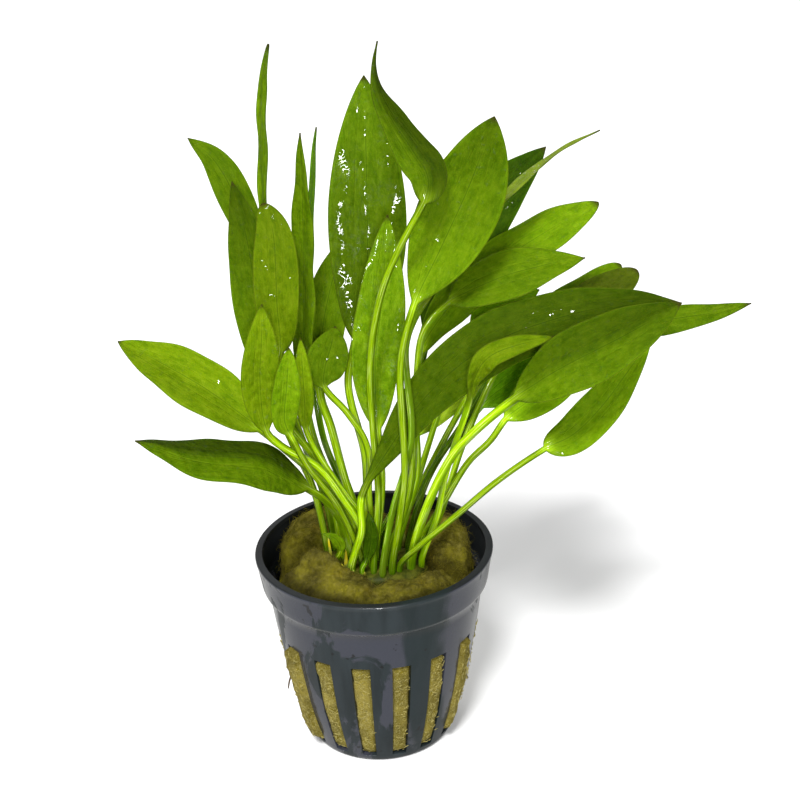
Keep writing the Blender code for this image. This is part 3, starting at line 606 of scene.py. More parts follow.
def make_leaf(leaf):
    node = "leaf_" + leaf.name
    chance = random.Random(node)
    foot = Vector((*leaf.foot, FOOT_HEIGHT - FOOT_SINK))
    stem = [foot, foot + Vector((0, 0, UPRIGHT_FOOT + FOOT_SINK))]
    stem += [Vector(point) for point in leaf.stalk]
    curve = spline(stem + [Vector(point) for point in leaf.blade])
    lengths = travel(curve)
    neck = lengths[CURVE_STEPS * (len(stem) - 1)]
    total = lengths[-1]
    stops = [neck * step / STALK_RINGS for step in range(STALK_RINGS)]
    stops += [neck + (total - neck) * (1 - cos(pi * step / BLADE_RINGS)) / 2
              for step in range(BLADE_RINGS + 1)]
    centres = [point_at(curve, lengths, stop) for stop in stops]
    tangents = [(after - before).normalized() for before, after
                in zip([centres[0]] + centres[:-1], centres[1:] + [centres[-1]])]
    tangents[0] = Vector((0, 0, 1))
    phases = {side: chance.uniform(0, 2 * pi) for side in (-1, 1)}
    wave_height = WAVE_HEIGHT * chance.uniform(0.6, 1.3)
    cup = chance.uniform(-0.1, 0.04)
    stalk_tone = chance.uniform(0.75, 1.5)
    seed = Vector((chance.uniform(0, 90), chance.uniform(0, 90), 0))
    shares = section_shares()
    rings = []
    marks = []
    up = None
    for index in reversed(range(len(stops))):
        along = (stops[index] - neck) / (total - neck)
        reach = stops[index] - neck
        blade = along >= 0
        if blade:
            up = Vector(leaf.face).normalized().lerp(Vector(leaf.tip_face).normalized(), along)
        across = tangents[index].cross(up).normalized()
        up = across.cross(tangents[index]).normalized()
        widen = ease(along / FLATTEN_BY) if blade else 0.0
        swell = 1 + SHEATH_SWELL * exp(-stops[index] / SHEATH_HEIGHT)
        girth = leaf.girth / 2 * swell
        half_width = blade_half_width(leaf, along) if blade else girth
        thin = BLADE_THICKNESS + (TIP_THICKNESS - BLADE_THICKNESS) * max(along, 0)
        waviness = wave_height * widen * min(1.0, (1 - along) * 4) * min(1.0, half_width / 4)
        neck_tone_and_light, tip_tone_and_light = leaf.tone
        skew = leaf.skew * widen
        tone = neck_tone_and_light + (tip_tone_and_light - neck_tone_and_light) * along if blade else stalk_tone
        ring = []
        ring_marks = []
        for share, side in shares:
            wide = share * half_width
            flute = 1 + STALK_FLUTE * cos(3 * pi * share) * (1 - share**2)
            round_part = girth * (1 - share**2) ** 0.5 * flute
            flat_part = thin * (1 - share**6)
            body = round_part + (flat_part - round_part) * widen
            lean = widen * half_width * (leaf.fold * abs(share) + cup * share**2)
            turn = 2 * pi * reach / WAVE_LENGTH + phases[1 if share > 0 else -1]
            wave = waviness * abs(share) ** WAVE_BUILD * sin(turn)
            spot = seed + Vector((reach / RIPPLE_ALONG, wide / RIPPLE_ACROSS, 0))
            ripple = RIPPLE_HEIGHT * widen * noise.noise(spot)
            rib = exp(-(wide / MIDRIB_WIDTH) ** 2) * widen * (1 - max(along, 0))
            drop = -MIDRIB_DEPTH * rib
            if side < 0:
                drop = -MIDRIB_BACK * MIDRIB_DEPTH * rib * leaf.girth / 2
            lift = lean + wave + ripple + side * body + drop
            ring.append(centres[index] + across * wide + up * lift)
            stalk_part = stops[index] / neck - 1
            # Painted shade: one side of the midrib is darker or lighter than the other
            side_shade_factor = 1 + skew * min(max(SIDE_SHADE_STEEPNESS * share, -1), 1)
            ring_marks.append((along if blade else stalk_part, share, reach, wide,
                               half_width * (1 - abs(share)), tone * side_shade_factor))
        rings.append(ring)
        marks.append(ring_marks)
    bm = skin(rings[::-1], marks[::-1], LEAF_MARKS)
    add_piece(leaf.name + "_leaf", bm, LEAF_FINISHES[leaf.finish], node, levels=1)


# -------- the pot

POT_HEIGHT = 47.4
RIM_RADIUS = 27.0
BAND_BOTTOM = 39.6
BAND_BOTTOM_RADIUS = 25.7
STEP_HEIGHT = 0.9
WALL = 1.1
EDGE_ROUNDING = 0.22
SHARP_EDGE = radians(50)
# The tapered wall's outside as (height, radius)
WALL_OUTLINE = [(0.0, 16.3), (0.7, 16.8), (5.0, 18.3), (11.0, 20.0), (18.0, 21.5), (28.0, 23.1),
                (38.7, 24.5)]
SLOTS = 16
SLOT_ANGLE = radians(10.4)
SLOT_PHASE = radians(0.7)
SLOT_BOTTOM = 1.9
SLOT_TOP = 29.4
DRAIN_INNER = 9.0
DRAIN_OUTER = 14.6
PITCH = 2 * pi / SLOTS
PITCH_COLUMNS = 12
SLOT_EDGE = (1 - SLOT_ANGLE / PITCH) / 2
# The foot and the rim band as (radius, height)
FOOT_OUTLINE = [(0, 0), (5, 0), (DRAIN_INNER, 0), (DRAIN_OUTER, 0), (15.7, 0), (16.25, 0.12),
                (16.6, 0.45), (16.95, 1.0), (17.25, SLOT_BOTTOM)]
BAND_OUTLINE = [(24.75, 38.95), (25.35, 39.3), (BAND_BOTTOM_RADIUS, BAND_BOTTOM + 0.1),
                (25.85, 40.3), (26.05, 41.6), (26.35, 43.6), (26.65, 45.4), (26.85, 46.3),
                (26.98, 46.75), (RIM_RADIUS, 47.0), (26.93, 47.2), (26.8, 47.34),
                (26.6, POT_HEIGHT), (25.35, POT_HEIGHT)]
ABOVE_SLOTS = [31.5, 34.0, 36.5, BAND_BOTTOM - STEP_HEIGHT]
SLOT_ROWS = 14


def at(radius, height):
    """A point of an outline or a section."""
    return Vector((radius, height, 0))


def wall_radius(height):
    return between(WALL_OUTLINE, height)


def pot_outline():
    """The outside of the pot from the middle of its underside to the rim, as (radius, height)."""
    curve = spline([at(radius, height) for height, radius in WALL_OUTLINE[1:]], 10)
    pairs = [(point.y, point.x) for point in curve]
    heights = [SLOT_BOTTOM + (SLOT_TOP - SLOT_BOTTOM) * row / SLOT_ROWS
               for row in range(1, SLOT_ROWS + 1)]
    wall = [(between(pairs, height), height) for height in heights + ABOVE_SLOTS]
    return FOOT_OUTLINE + wall + BAND_OUTLINE


def angle_round(co):
    return -Vector((1, 0)).angle_signed(co.xy, 0.0)


def pitch_share(co):
    """How far round from one rib's middle to the next a point stands, from 0 to 1."""
    return ((angle_round(co) - SLOT_PHASE) / PITCH) % 1.0


def make_pot(finish):
    bm = bmesh.new()
    verts = [bm.verts.new((radius, 0, height)) for radius, height in pot_outline()]
    edges = [bm.edges.new(pair) for pair in zip(verts, verts[1:])]
    bmesh.ops.spin(bm, geom=verts + edges, cent=(0, 0, 0), axis=(0, 0, 1), dvec=(0, 0, 0),
                   angle=2 * pi, steps=SLOTS * PITCH_COLUMNS, use_merge=True)
    bmesh.ops.remove_doubles(bm, verts=bm.verts, dist=MERGE_DISTANCE)
    widths = [(0.0, 0.0), (0.25, SLOT_EDGE), (0.75, 1 - SLOT_EDGE), (1.0, 1.0)]
    for vert in bm.verts:
        radius = vert.co.xy.length
        if radius > MERGE_DISTANCE:
            turns = round(angle_round(vert.co) / PITCH * PITCH_COLUMNS) / PITCH_COLUMNS
            slot = turns // 1
            angle = SLOT_PHASE + (slot + between(widths, turns - slot)) * PITCH
            vert.co.xy = Vector((cos(angle), sin(angle))) * radius
    opened = []
    for face in bm.faces:
        middle = face.calc_center_median()
        radius = middle.xy.length
        in_wall = SLOT_BOTTOM < middle.z < SLOT_TOP
        in_floor = middle.z < 0.01 and DRAIN_INNER < radius < DRAIN_OUTER
        if (in_wall or in_floor) and SLOT_EDGE < pitch_share(middle) < 1 - SLOT_EDGE:
            opened.append(face)
    bmesh.ops.delete(bm, geom=opened, context="FACES")
    pot = add_piece("slotted_pot", bm, finish, "net_pot")
    wall = pot.modifiers.new("wall", "SOLIDIFY")
    wall.thickness = WALL * MM
    wall.offset = -1
    wall.use_even_offset = True
    edges = pot.modifiers.new("soft edges", "BEVEL")
    edges.width = EDGE_ROUNDING * MM
    edges.segments = 2
    edges.limit_method = "ANGLE"
    edges.angle_limit = SHARP_EDGE
    edges.harden_normals = True


PLASTIC_DARK = (0.007, 0.012, 0.014)
PLASTIC_PALE = (0.018, 0.026, 0.03)
PLASTIC_PAINTED_FILM_SHEEN = (0.033, 0.036, 0.05)
PLASTIC_SHADED = (0.005, 0.007, 0.008)
PLASTIC_PAINTED_DARK_REFLECTION = (0.004, 0.012, 0.013)
PLASTIC_SPECK = (0.003, 0.003, 0.003)
# Where a change of finish, painted shade or painted reflection starts and ends, in metres: across
# the pot, out from its axis, and up
DARK_BAND_START = (0.0065, 0.0085)
DARK_BAND_END = (0.0165, 0.0145)
INNER_WALL = (0.0182, 0.0179)
WALL_SLOPE = 0.18
INNER_WALL_FOOT = (0.0396, 0.0399)
RIM_TOP = (0.0471, 0.0473)
LIP_EDGE = (0.0461, 0.0466)
STEP_START = (0.0387, 0.0391)
STEP_END = (0.0402, 0.0398)


def pot_finish():
    """Blue-black moulded plastic, part of it under a thin uneven gloss film."""
    material, tree, shader = start_finish("moulded_slate_plastic", Coat_Roughness=0.05,
                                          Coat_IOR=1.33, Specular_IOR_Level=0.35)
    place = own_place(tree)
    height = one_axis(place, "Z")
    flat = mapped(place, Scale=(1.0, 1.0, 0.45))
    wobble = times(minus(grain(flat, 60.0, 3.0), 0.5), 0.02)
    side = plus(one_axis(place, "X"), wobble)
    # Painted darker reflection: a vertical band through the pot that is darker and carries little
    # film
    film_free_dark_band = times(band(side, *DARK_BAND_START), band(side, *DARK_BAND_END))
    upright = minus(distance_out(place), times(height, WALL_SLOPE))
    inside = times(band(upright, *INNER_WALL), band(height, *INNER_WALL_FOOT))
    rim = band(height, *RIM_TOP)
    shaded = most(inside, rim)
    film = times(band(grain(flat, 80.0, 5.0, 0.6, 1.2), 0.47, 0.52),
                 minus(1.0, times(film_free_dark_band, 0.85)), minus(1.0, shaded))

    streaks = grain(mapped(place, Scale=(1, 1, 0.06)), 260.0, 4.0)
    base = blend(band(streaks, 0.3, 0.7), PLASTIC_DARK, PLASTIC_PALE)
    # Painted sheen: the gloss film's patches are a paler lilac grey than the bare plastic
    base = blend(film, base, PLASTIC_PAINTED_FILM_SHEEN)
    base = blend(shaded, base, PLASTIC_SHADED)
    base = blend(film_free_dark_band, base, PLASTIC_PAINTED_DARK_REFLECTION, 0.6)
    speck = band(grain(place, 380.0, 2.0), 0.68, 0.72)
    base = blend(speck, base, PLASTIC_SPECK, 0.8)

    lip = times(band(height, *LIP_EDGE), minus(1.0, rim))
    step = times(band(height, *STEP_START), band(height, *STEP_END))
    gloss = times(band(film, 0.0, 1.0, 0.12, 0.6), minus(1.0, shaded))
    feed(shader, Base_Color=base, Coat_Weight=most(gloss, most(lip, step)),
         Roughness=plus(band(film, 0.0, 1.0, 0.38, 0.2), times(shaded, 0.3)))
    ripples = plus(times(film, 0.35), times(grain(flat, 180.0, 3.0), 0.5))
    relief(shader, ripples, 0.0002, 0.7)
    return material


# -------- the rock wool

Wool = namedtuple("Wool", "name node start end start_crease end_crease tone shape")
WOOL_FLOOR = 1.75
WOOL_SEAT = 37.0
WOOL_CORE = 1.2
WOOL_STEPS = 110
WOOL_GAP = 0.35
# The wall side is packed against the pot up to here, and the mound is free from here up
PACKED_TO = 35.0
MOUND_FOOT = 37.0
LOOSE_FROM = 38.0
LOOSE_OVER = 4.0
CROWN_CENTRE = Vector((-0.2, -3.2, 0.0))
CROWN_TURN = radians(-14)
CROWN_HALF_LENGTH = 12.6
CROWN_HALF_DEPTH = 8.4

# Each lump's shape is read at angles seen from above: angle, height of the top, outer radius,
# and how far the top leans in towards the crown, from 0 to 1
WOOLS = [
    Wool("front_wool", "wool_front", 182, 336, 4, 6, 1.0,
         [(182, 44.5, 20.4, 0.8), (192, 47.5, 21.2, 1), (203, 50.4, 22, 1), (220, 50.8, 22.3, 1),
          (238, 49.6, 22.6, 0.8), (255, 47.9, 22.6, 0.6), (268, 46.6, 22.4, 0.4),
          (290, 46.6, 22, 0.3), (310, 46.4, 21.8, 0.2), (322, 45.6, 21.4, 0.2),
          (329, 43.8, 20.6, 0.2), (336, 44.6, 20.8, 0.2)]),
    Wool("right_wool", "wool_right", 338, 436, 10, 8, 1.35,
         [(331, 44, 20.6, 0.4), (338, 46.4, 21.4, 0.4), (350, 48.4, 21.8, 0.3),
          (365, 49.6, 21.6, 0), (380, 49.8, 21.6, 0), (405, 48.8, 21.4, 0.2),
          (425, 48, 21.2, 0.2), (436, 45.5, 20.8, 0.2)]),
    Wool("left_wool", "wool_left", 438, 540, 8, 9, 2.1,
         [(438, 45.8, 21, 0.2), (455, 48.2, 21.8, 0.2), (480, 49.8, 22.4, 0.2),
          (500, 50.6, 22.4, 0.3), (515, 50.4, 22.2, 0.4), (530, 48.4, 21.6, 0.6),
          (540, 44.8, 20.6, 0.8)]),
]
SLOT_BULGES = {8: 0.9, 9: 2.6, 14: 1.9}
USUAL_BULGE = 1.0


def crown_radius(angle, clearance):
    """How far the crown and a clearance reach from the pot's axis, looking out at one angle."""
    turn = Matrix.Rotation(-CROWN_TURN, 3, "Z")
    ahead = turn @ Vector((cos(angle), sin(angle), 0))
    middle = turn @ CROWN_CENTRE
    for reach in (ahead, middle):
        reach.x /= CROWN_HALF_LENGTH + clearance
        reach.y /= CROWN_HALF_DEPTH + clearance
    along = ahead.dot(middle)
    square = ahead.length_squared
    return (along + (along**2 - square * (middle.length_squared - 1)) ** 0.5) / square


def slot_swell(angle, height):
    """How far the wool swells into the slot at this angle and height."""
    turns = (angle - SLOT_PHASE) / PITCH
    slot = int(turns // 1) % SLOTS
    near = 1 - abs((turns % 1) - 0.5) / (0.5 - SLOT_EDGE)
    level = min((height - SLOT_BOTTOM) / 2.4, (SLOT_TOP - height) / 1.2)
    swell = SLOT_BULGES.get(slot, USUAL_BULGE) + WOOL_GAP
    return swell * ease(near * 7) * ease(level)


def wool_section(wool, angle):
    """One cut through a lump of wool: underside, wall side, mound and crown side."""
    degrees_round = angle * 180 / pi
    top, outer, lean = (between([(row[0], row[column]) for row in wool.shape], degrees_round)
                        for column in (1, 2, 3))
    inner = crown_radius(angle, 0.5)
    middle = (outer + inner) / 2
    floor_width = wall_radius(WOOL_FLOOR) - WALL - WOOL_GAP - WOOL_CORE
    points = [at(WOOL_CORE + floor_width * step / 4, WOOL_FLOOR) for step in range(4)]
    for step in range(30):
        height = WOOL_FLOOR + (PACKED_TO - WOOL_FLOOR) * step / 29
        points.append(at(wall_radius(height) - WALL - WOOL_GAP + slot_swell(angle, height), height))
    upright = [(outer + 0.4, top - 5.5), (outer, top - 2.8), (outer - 0.9, top - 1.1),
               (outer - 2.6, top - 0.2), (outer - 4.5, top), (middle - 1.5, top - 0.8),
               (inner + 0.5, top - 2.2)]
    sloping = [(outer + 0.5, top - 8.0), (outer, top - 6.4), (outer - 1.3, top - 4.8),
               (outer - 3.6, top - 3.0), (middle, top - 1.3), (inner + 1.8, top),
               (inner + 0.3, top - 1.4)]
    mound = [at(wall_radius(36.5) - WALL - WOOL_GAP, MOUND_FOOT)]
    mound += [at(*high).lerp(at(*low), lean) for high, low in zip(upright, sloping)]
    mound.append(at(inner, 42.5))
    points += spline(mound, 6)
    points += [at(inner, 40.0), at(inner, WOOL_SEAT)]
    return points + [at(WOOL_CORE, height) for height in (WOOL_SEAT - 0.6, 24.0, 12.0)]


def lump(wool):
    """One lump of wool, from crease to crease, before its fibres are laid."""
    rings = []
    marks = []
    for step in range(WOOL_STEPS + 1):
        share = step / WOOL_STEPS
        angle = radians(wool.start + (wool.end - wool.start) * share)
        # Painted shade at the lump's ends, where it meets the next lump in a crease
        sunk = 1 - min(ease((wool.end - wool.start) * share / wool.start_crease),
                       ease((wool.end - wool.start) * (1 - share) / wool.end_crease))
        outward = Vector((cos(angle), sin(angle), 0))
        section = wool_section(wool, angle)
        middle = sum(section, Vector()) / len(section)
        nearness = min(share, 1 - share) * WOOL_STEPS
        squeeze = {0: 0.9, 1: 0.96, 2: 0.99}.get(round(nearness), 1.0)
        ring = []
        for point in section:
            point = middle + (point - middle) * squeeze
            ring.append(outward * point.x + Vector((0, 0, point.y)))
        rings.append(ring)
        marks.append([(sunk, wool.tone)] * len(ring))
    bm = skin(rings, marks, ("sunk", "tone"))
    face_outwards(bm)
    for vert in bm.verts:
        free = ease((vert.co.z - LOOSE_FROM) / LOOSE_OVER)
        coarse = unevenness(vert.co, 6.0, 4)
        fine = unevenness(vert.co, 1.8, 3)
        vert.co += vert.normal * (coarse * (0.3 + 0.9 * free) + fine * (0.2 + 0.1 * free))
    return bm


FIBRES = 3200
FIBRE_RADIUS = 0.02
FIBRE_POINTS = 4
SHOWN_ABOVE = 40.0
SLOT_DENSITY = 0.7
# A fibre: how far it lifts off the wool, how much it bends, its steps and its thickness
Fibre = namedtuple("Fibre", "lift bend step thickness")
LOOSE_FIBRE = Fibre((-0.1, 0.08), 0.9, (0.4, 1.0), 1.0)
SLOT_FIBRE = Fibre((-0.15, 0.05), 1.6, (0.2, 0.45), 4.5)


def any_way(chance, reach):
    return Vector([chance.uniform(-reach, reach) for _ in range(3)])


def lay_fibres(name, bm, chance):
    """Lay short curled fibres over the part of a lump that shows, and return them as one mesh."""
    spots = []
    weights = []
    for face in bm.faces:
        middle = face.calc_center_median()
        free = middle.z > SHOWN_ABOVE
        in_slot = (SLOT_BOTTOM + 1 < middle.z < SLOT_TOP - 1
                   and SLOT_EDGE + 0.07 < pitch_share(middle) < 1 - SLOT_EDGE - 0.07)
        if free or (in_slot and middle.xy.length > wall_radius(middle.z) - WALL - 1.2):
            spots.append((middle, face.normal.copy(), LOOSE_FIBRE if free else SLOT_FIBRE))
            weights.append(face.calc_area() * (1.0 if free else SLOT_DENSITY))
    curve = bpy.data.curves.new(name, "CURVE")
    curve.dimensions = "3D"
    curve.bevel_depth = FIBRE_RADIUS * MM
    curve.bevel_resolution = 0
    curve.use_fill_caps = True
    for middle, normal, fibre in chance.choices(spots, weights, k=FIBRES):
        heading = any_way(chance, 1)
        heading = (heading - normal * heading.dot(normal)).normalized()
        heading += normal * chance.uniform(*fibre.lift)
        bend = any_way(chance, 1) * fibre.bend
        if fibre is SLOT_FIBRE:
            bend -= normal * bend.dot(normal)
        step = chance.uniform(*fibre.step)
        point = middle + any_way(chance, 0.4)
        line = curve.splines.new("POLY")
        line.points.add(FIBRE_POINTS - 1)
        for index in range(FIBRE_POINTS):
            taper = 1.0 if 0 < index < FIBRE_POINTS - 1 else 0.4
            line.points[index].co = (*(point * MM), 1)
            line.points[index].radius = taper * fibre.thickness
            point = point + heading * step
            heading = (heading + bend * 0.5 - normal * 0.1).normalized()
    holder = put_in_scene(name, curve)
    bpy.context.view_layer.update()
    ready = holder.evaluated_get(bpy.context.evaluated_depsgraph_get())
    mesh = bpy.data.meshes.new_from_object(ready)
    bpy.data.objects.remove(holder)
    return mesh


def make_wool(wool, finish):
    bm = lump(wool)
    bm.normal_update()
    fibres = lay_fibres(wool.name + "_fibres", bm, random.Random(wool.name))
    face_outwards(bm)
    resize(bm, MM)
    body = len(bm.verts)
    bm.from_mesh(fibres)
    strand = bm.verts.layers.float.new("strand")
    tone = bm.verts.layers.float["tone"]
    bm.verts.ensure_lookup_table()
    for vert in bm.verts[body:]:
        vert[strand] = 1.0
        vert[tone] = wool.tone
    resize(bm, 1 / MM)
    add_piece(wool.name, bm, finish, wool.node)


FELT_OLIVE = (0.175, 0.155, 0.009)
FELT_DARK = (0.06, 0.052, 0.003)
FELT_WARM = (0.19, 0.135, 0.003)
FELT_PALE = (0.32, 0.27, 0.06)
FELT_THREAD = (0.32, 0.27, 0.03)
STRAW = (0.27, 0.215, 0.032)
STRAW_DARK = (0.13, 0.102, 0.008)
STRAW_CURL = (0.58, 0.5, 0.17)
STRAW_SHADED = (0.1, 0.08, 0.004)
STRAW_THREAD = (0.56, 0.49, 0.17)
WOOL_PAINTED_SHADE = (0.02, 0.017, 0.001)
# Where a change of finish or of painted shade starts and ends, in metres: up, out from the pot's
# axis, and to the front
FELT_START = (0.033, 0.038)
SHADE_START = (0.024, 0.031)
PAINTED_SHADE_START = (0.036, 0.04)
PAINTED_SHADE_OUT = (0.0192, 0.022)
PAINTED_SHADE_FRONT = (-0.003, -0.011)


def wool_finish():
    """Damp mineral wool: olive felt on top, straw curls in the slots, painted shade in creases and
    by the wall.
    """
    material, tree, shader = start_finish("damp_rock_wool", Sheen_Weight=0.06, Sheen_Roughness=0.5,
                                          Sheen_Tint=(0.8, 0.7, 0.3), Specular_IOR_Level=0.05)
    place = own_place(tree)
    height = one_axis(place, "Z")
    top = band(height, *FELT_START)
    patches = grain(place, 130.0, 5.0, 0.6)
    warm = grain(mapped(place, Location=(0.3, 0.1, 0.7)), 210.0, 3.0)
    felt = grain(place, 900.0, 4.0, 0.7)
    curls = calculate("PINGPONG", grain(place, 300.0, 3.0, 0.6, 3.0), 0.05)
    curls = band(curls, 0.004, 0.03, 1.0, 0.0)
    olive = blend(band(patches, 0.36, 0.6), FELT_OLIVE, FELT_DARK)
    olive = blend(band(warm, 0.54, 0.72, 0.0, 0.35), olive, FELT_WARM)
    olive = blend(band(felt, 0.42, 0.68, 0.0, 0.3), olive, FELT_PALE)
    straw = blend(band(patches, 0.36, 0.62), STRAW, STRAW_DARK)
    straw = blend(curls, straw, STRAW_CURL, 0.75)
    straw = blend(band(height, *SHADE_START, 0.0, 0.5), straw, STRAW_SHADED)
    threads = times(mark(tree, "strand"), band(height, *FELT_START, 0.75, 0.35))
    colour = blend(threads, blend(top, straw, olive), blend(top, STRAW_THREAD, FELT_THREAD))
    # Painted shade on the upper wool: darker towards the pot's wall, most at the front, and in the
    # creases
    painted_wool_shade = times(band(distance_out(place), *PAINTED_SHADE_OUT, 0.0, 0.8),
                 band(one_axis(place, "Y"), *PAINTED_SHADE_FRONT, 0.25, 1.0))
    painted_wool_shade = most(painted_wool_shade, times(mark(tree, "sunk"), 0.75))
    painted_wool_shade = times(painted_wool_shade, band(height, *PAINTED_SHADE_START))
    colour = blend(painted_wool_shade, colour, WOOL_PAINTED_SHADE)
    # The tone mark is painted light as well as tone: it brightens the lumps that sit in shade
    feed(shader, Base_Color=scaled(colour, mark(tree, "tone")),
         Roughness=band(felt, 0.3, 0.7, 0.8, 1.0))
    relief(shader, plus(felt, times(curls, 1.2)), 0.0003, 0.8)
    return material


# -------- the crown and the root ends

CROWN_SIDES = 56
# The crown's swell as (height, share of its full size)
CROWN_LEVELS = [(37.4, 0.25), (38.0, 0.55), (40.0, 0.86), (42.0, 0.96), (43.6, 1.0), (44.6, 0.97),
                (45.3, 0.88), (45.7, 0.7), (45.8, 0.45), (45.7, 0.2)]
CROWN_ROUGHNESS = 0.45
STUB_FOOT = 44.5
STUB_SINK = 1.5
STUB_UPRIGHTNESS = 2.5
# Stubs of old leaves on the crown: foot, height, width and lean
STUBS = [((-7.0, -9.8), 4.2, 1.7, (-0.3, -0.8)), ((-5.0, -10.6), 2.6, 1.3, (0.4, -0.6)),
         ((-2.5, -11.2), 2.2, 1.2, (0.3, -0.5)), ((-8.8, -8.4), 3.0, 1.2, (-0.8, -0.2)),
         ((6.8, 2.6), 3.4, 1.5, (0.4, 0.5)), ((-1.5, 4.2), 3.6, 1.6, (-0.4, 0.6)),
         ((2.5, 3.4), 2.8, 1.4, (0.2, 0.8)), ((10.0, -2.2), 2.6, 1.2, (0.9, 0.2)),
         ((-6.4, -8.2), 6.5, 1.5, (0.1, -0.3)), ((-9.8, -5.0), 8.5, 1.1, (-0.2, 0.1))]


def add_stub(bm, foot, height, width, lean):
    """A short torn leaf base: a flattened cone that leans outwards."""
    made = bmesh.ops.create_cone(bm, cap_ends=True, segments=10, radius1=width / 2,
                                 radius2=width / 5, depth=height + STUB_SINK)["verts"]
    heading = Vector((*lean, STUB_UPRIGHTNESS)).normalized()
    turn = Vector((0, 0, 1)).rotation_difference(heading).to_matrix().to_4x4()
    bmesh.ops.scale(bm, vec=(1.0, 0.6, 1.0), verts=made)
    place = Matrix.Translation((*foot, STUB_FOOT + height / 2))
    bmesh.ops.transform(bm, matrix=place @ turn, verts=made)


def make_crown(finish):
    turn = Matrix.Rotation(CROWN_TURN, 3, "Z")
    rings = []
    for height, share in CROWN_LEVELS:
        ring = []
        for side in range(CROWN_SIDES):
            angle = 2 * pi * side / CROWN_SIDES
            point = at(CROWN_HALF_LENGTH * cos(angle), CROWN_HALF_DEPTH * sin(angle)) * share
            ring.append(CROWN_CENTRE + turn @ point + Vector((0, 0, height)))
        rings.append(ring)
    bm = skin(rings)
    face_outwards(bm)
    for vert in bm.verts:
        vert.co += vert.normal * CROWN_ROUGHNESS * unevenness(vert.co, 2.0, 4)
    for stub in STUBS:
        add_stub(bm, *stub)
    add_piece("leaf_crown", bm, finish, "crown", levels=1)


# The crown's dark colour is partly its own and partly painted shade among the leaf feet
CROWN_DARK = (0.028, 0.036, 0.003)
CROWN_PALE = (0.1, 0.105, 0.009)
STUB_GREEN = (0.3, 0.36, 0.05)
STUB_STRAW = (0.5, 0.4, 0.01)
STUB_START = (0.0459, 0.0478)


def crown_finish():
    """Damp crown, dark partly in its own colour and partly as painted shade, with paler torn leaf
    bases.
    """
    material, tree, shader = start_finish("crown_and_old_leaf_bases", Specular_IOR_Level=0.08)
    place = own_place(tree)
    patches = grain(place, 400.0, 4.0)
    base = blend(band(patches, 0.35, 0.65), CROWN_DARK, CROWN_PALE)
    stubs = blend(band(patches, 0.4, 0.6), STUB_GREEN, STUB_STRAW)
    colour = blend(band(one_axis(place, "Z"), *STUB_START), base, stubs)
    feed(shader, Base_Color=colour, Roughness=band(patches, 0.3, 0.7, 0.45, 0.75))
    relief(shader, patches, 0.0003, 0.7)
    return material


Root = namedtuple("Root", "name node points")
ROOT_THICKNESS = 0.9
ROOT_TAPER = 0.75
ROOT_KNOTS = 0.12
ROOTS = [
    Root("left_root", "root_left", [(-19.7, -4.3, 16.8), (-20.9, -4.6, 15.6), (-21.6, -4.8, 12.8)]),
    Root("right_root", "root_right", [(18.6, 3.6, 9.8), (20.2, 3.9, 9.0), (21.2, 4.1, 7.0)]),
]
ROOT_SIDES = 10


def make_root(root, finish):
    curve = spline([Vector(point) for point in root.points], 8)
    rings = []
    for index, centre in enumerate(curve):
        ahead = (curve[min(index + 1, len(curve) - 1)] - curve[max(index - 1, 0)]).normalized()
        across = ahead.orthogonal().normalized()
        up = across.cross(ahead)
        share = index / (len(curve) - 1)
        radius = ROOT_THICKNESS / 2 * (1 - ROOT_TAPER * share) * (1 + ROOT_KNOTS * sin(9 * share))
        rings.append([centre + (across * cos(turn) + up * sin(turn)) * radius
                      for turn in (2 * pi * side / ROOT_SIDES for side in range(ROOT_SIDES))])
    add_piece(root.name, skin(rings), finish, root.node, levels=1)


ROOT_DARK = (0.03, 0.018, 0.01)
ROOT_PALE = (0.11, 0.07, 0.035)


def root_finish():
    """Brown root skin, mottled from dark to pale."""
    material, tree, shader = start_finish("root_skin", Specular_IOR_Level=0.4)
    patches = grain(own_place(tree), 900.0, 4.0)
    colour = blend(band(patches, 0.35, 0.65), ROOT_DARK, ROOT_PALE)
    feed(shader, Base_Color=colour, Roughness=band(patches, 0.3, 0.7, 0.4, 0.7))
    relief(shader, patches, 0.0002, 0.7)
    return material


# -------- the studio, in metres

CAMERA_PLACE = Vector((0.0, -0.28233, 0.20635))
CAMERA_AIM = Vector((0.00698, -0.00716, 0.08704))
CAMERA_ROLL = radians(-2.123)
CAMERA_LENS = 63.81
CAMERA_FILM = 36.0
NEAREST_SEEN = 0.01
LIGHT_AIM = Vector((0, 0, 0.08))
SUN_WAY = Vector((0.15, 0.62, -0.85))
SUN_STRENGTH = 3.3
SUN_SPREAD = radians(13)
SKY_LIGHT = 0.4
SKY_SEEN = 1.0
FLOOR_SIZE = 6.0
FLOOR_SEEN = ((0.94, 0.94, 0.94), (0.96, 0.96, 0.96))
FLOOR_BOUNCE = (0.45, 0.45, 0.44)
# Soft boxes: name, place, width, height and power
SOFT_BOXES = [("front_box", (0.02, -0.62, 0.22), 0.06, 0.24, 2.3),
              ("back_box", (-0.25, 0.7, 0.45), 0.4, 0.4, 1.6)]


def point_along(way):
    """The turn that points a camera or light along a way."""
    return way.to_track_quat("-Z", "Y")


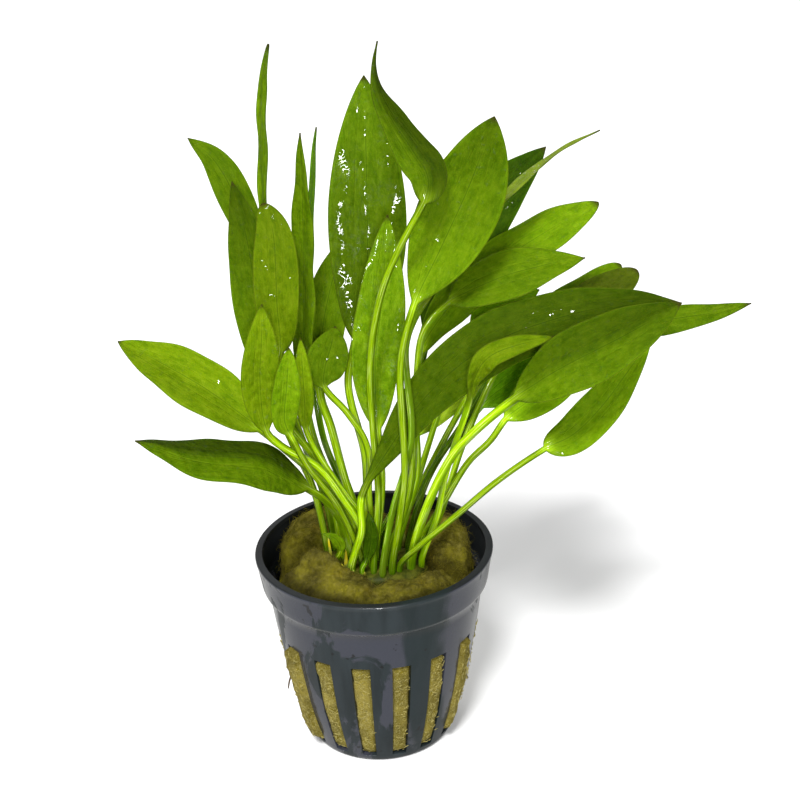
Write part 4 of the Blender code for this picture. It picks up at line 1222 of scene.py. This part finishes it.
def set_camera():
    data = bpy.data.cameras.new("camera")
    data.lens = CAMERA_LENS
    data.sensor_width = CAMERA_FILM
    data.sensor_fit = "HORIZONTAL"
    data.clip_start = NEAREST_SEEN
    camera = put_in_scene("camera", data)
    ahead = point_along(CAMERA_AIM - CAMERA_PLACE).to_matrix().to_4x4()
    roll = Matrix.Rotation(CAMERA_ROLL, 4, "Z")
    camera.matrix_world = Matrix.Translation(CAMERA_PLACE) @ ahead @ roll
    bpy.context.scene.camera = camera


def add_soft_box(name, place, width, height, power):
    data = bpy.data.lights.new(name, "AREA")
    data.shape = "RECTANGLE"
    data.size = width
    data.size_y = height
    data.energy = power
    light = put_in_scene(name, data)
    light.location = place
    light.rotation_euler = point_along(LIGHT_AIM - Vector(place)).to_euler()


def floor_finish():
    """Pale to the camera, and greyer in the light that it throws back."""
    material, tree, shader = start_finish("pale_floor", Roughness=0.9, Specular_IOR_Level=0.1)
    pale = blend(grain(own_place(tree), 3.0), *FLOOR_SEEN)
    seen = add_node(tree, "ShaderNodeLightPath").outputs["Is Camera Ray"]
    feed(shader, Base_Color=blend(seen, FLOOR_BOUNCE, pale))
    return material


def set_studio():
    bm = bmesh.new()
    bmesh.ops.create_grid(bm, x_segments=1, y_segments=1, size=FLOOR_SIZE)
    mesh = as_mesh("floor", bm)
    mesh.materials.append(floor_finish())
    floor = put_in_scene("floor", mesh)
    world = bpy.data.worlds.new("studio")
    world.use_nodes = True
    tree = world.node_tree
    seen = add_node(tree, "ShaderNodeLightPath").outputs["Is Camera Ray"]
    feed(tree.nodes["Background"], Color=(1, 1, 1),
         Strength=band(seen, 0.0, 1.0, SKY_LIGHT, SKY_SEEN))
    bpy.context.scene.world = world
    sun = bpy.data.lights.new("overhead", "SUN")
    sun.energy = SUN_STRENGTH
    sun.angle = SUN_SPREAD
    put_in_scene("overhead", sun).rotation_euler = point_along(SUN_WAY).to_euler()
    for box in SOFT_BOXES:
        add_soft_box(*box)
    bpy.context.scene.view_settings.view_transform = "Standard"


make_pot(pot_finish())
wool_material = wool_finish()
for wool in WOOLS:
    make_wool(wool, wool_material)
make_crown(crown_finish())
root_material = root_finish()
for root in ROOTS:
    make_root(root, root_material)
for leaf in LEAVES:
    make_leaf(leaf)
set_camera()
set_studio()
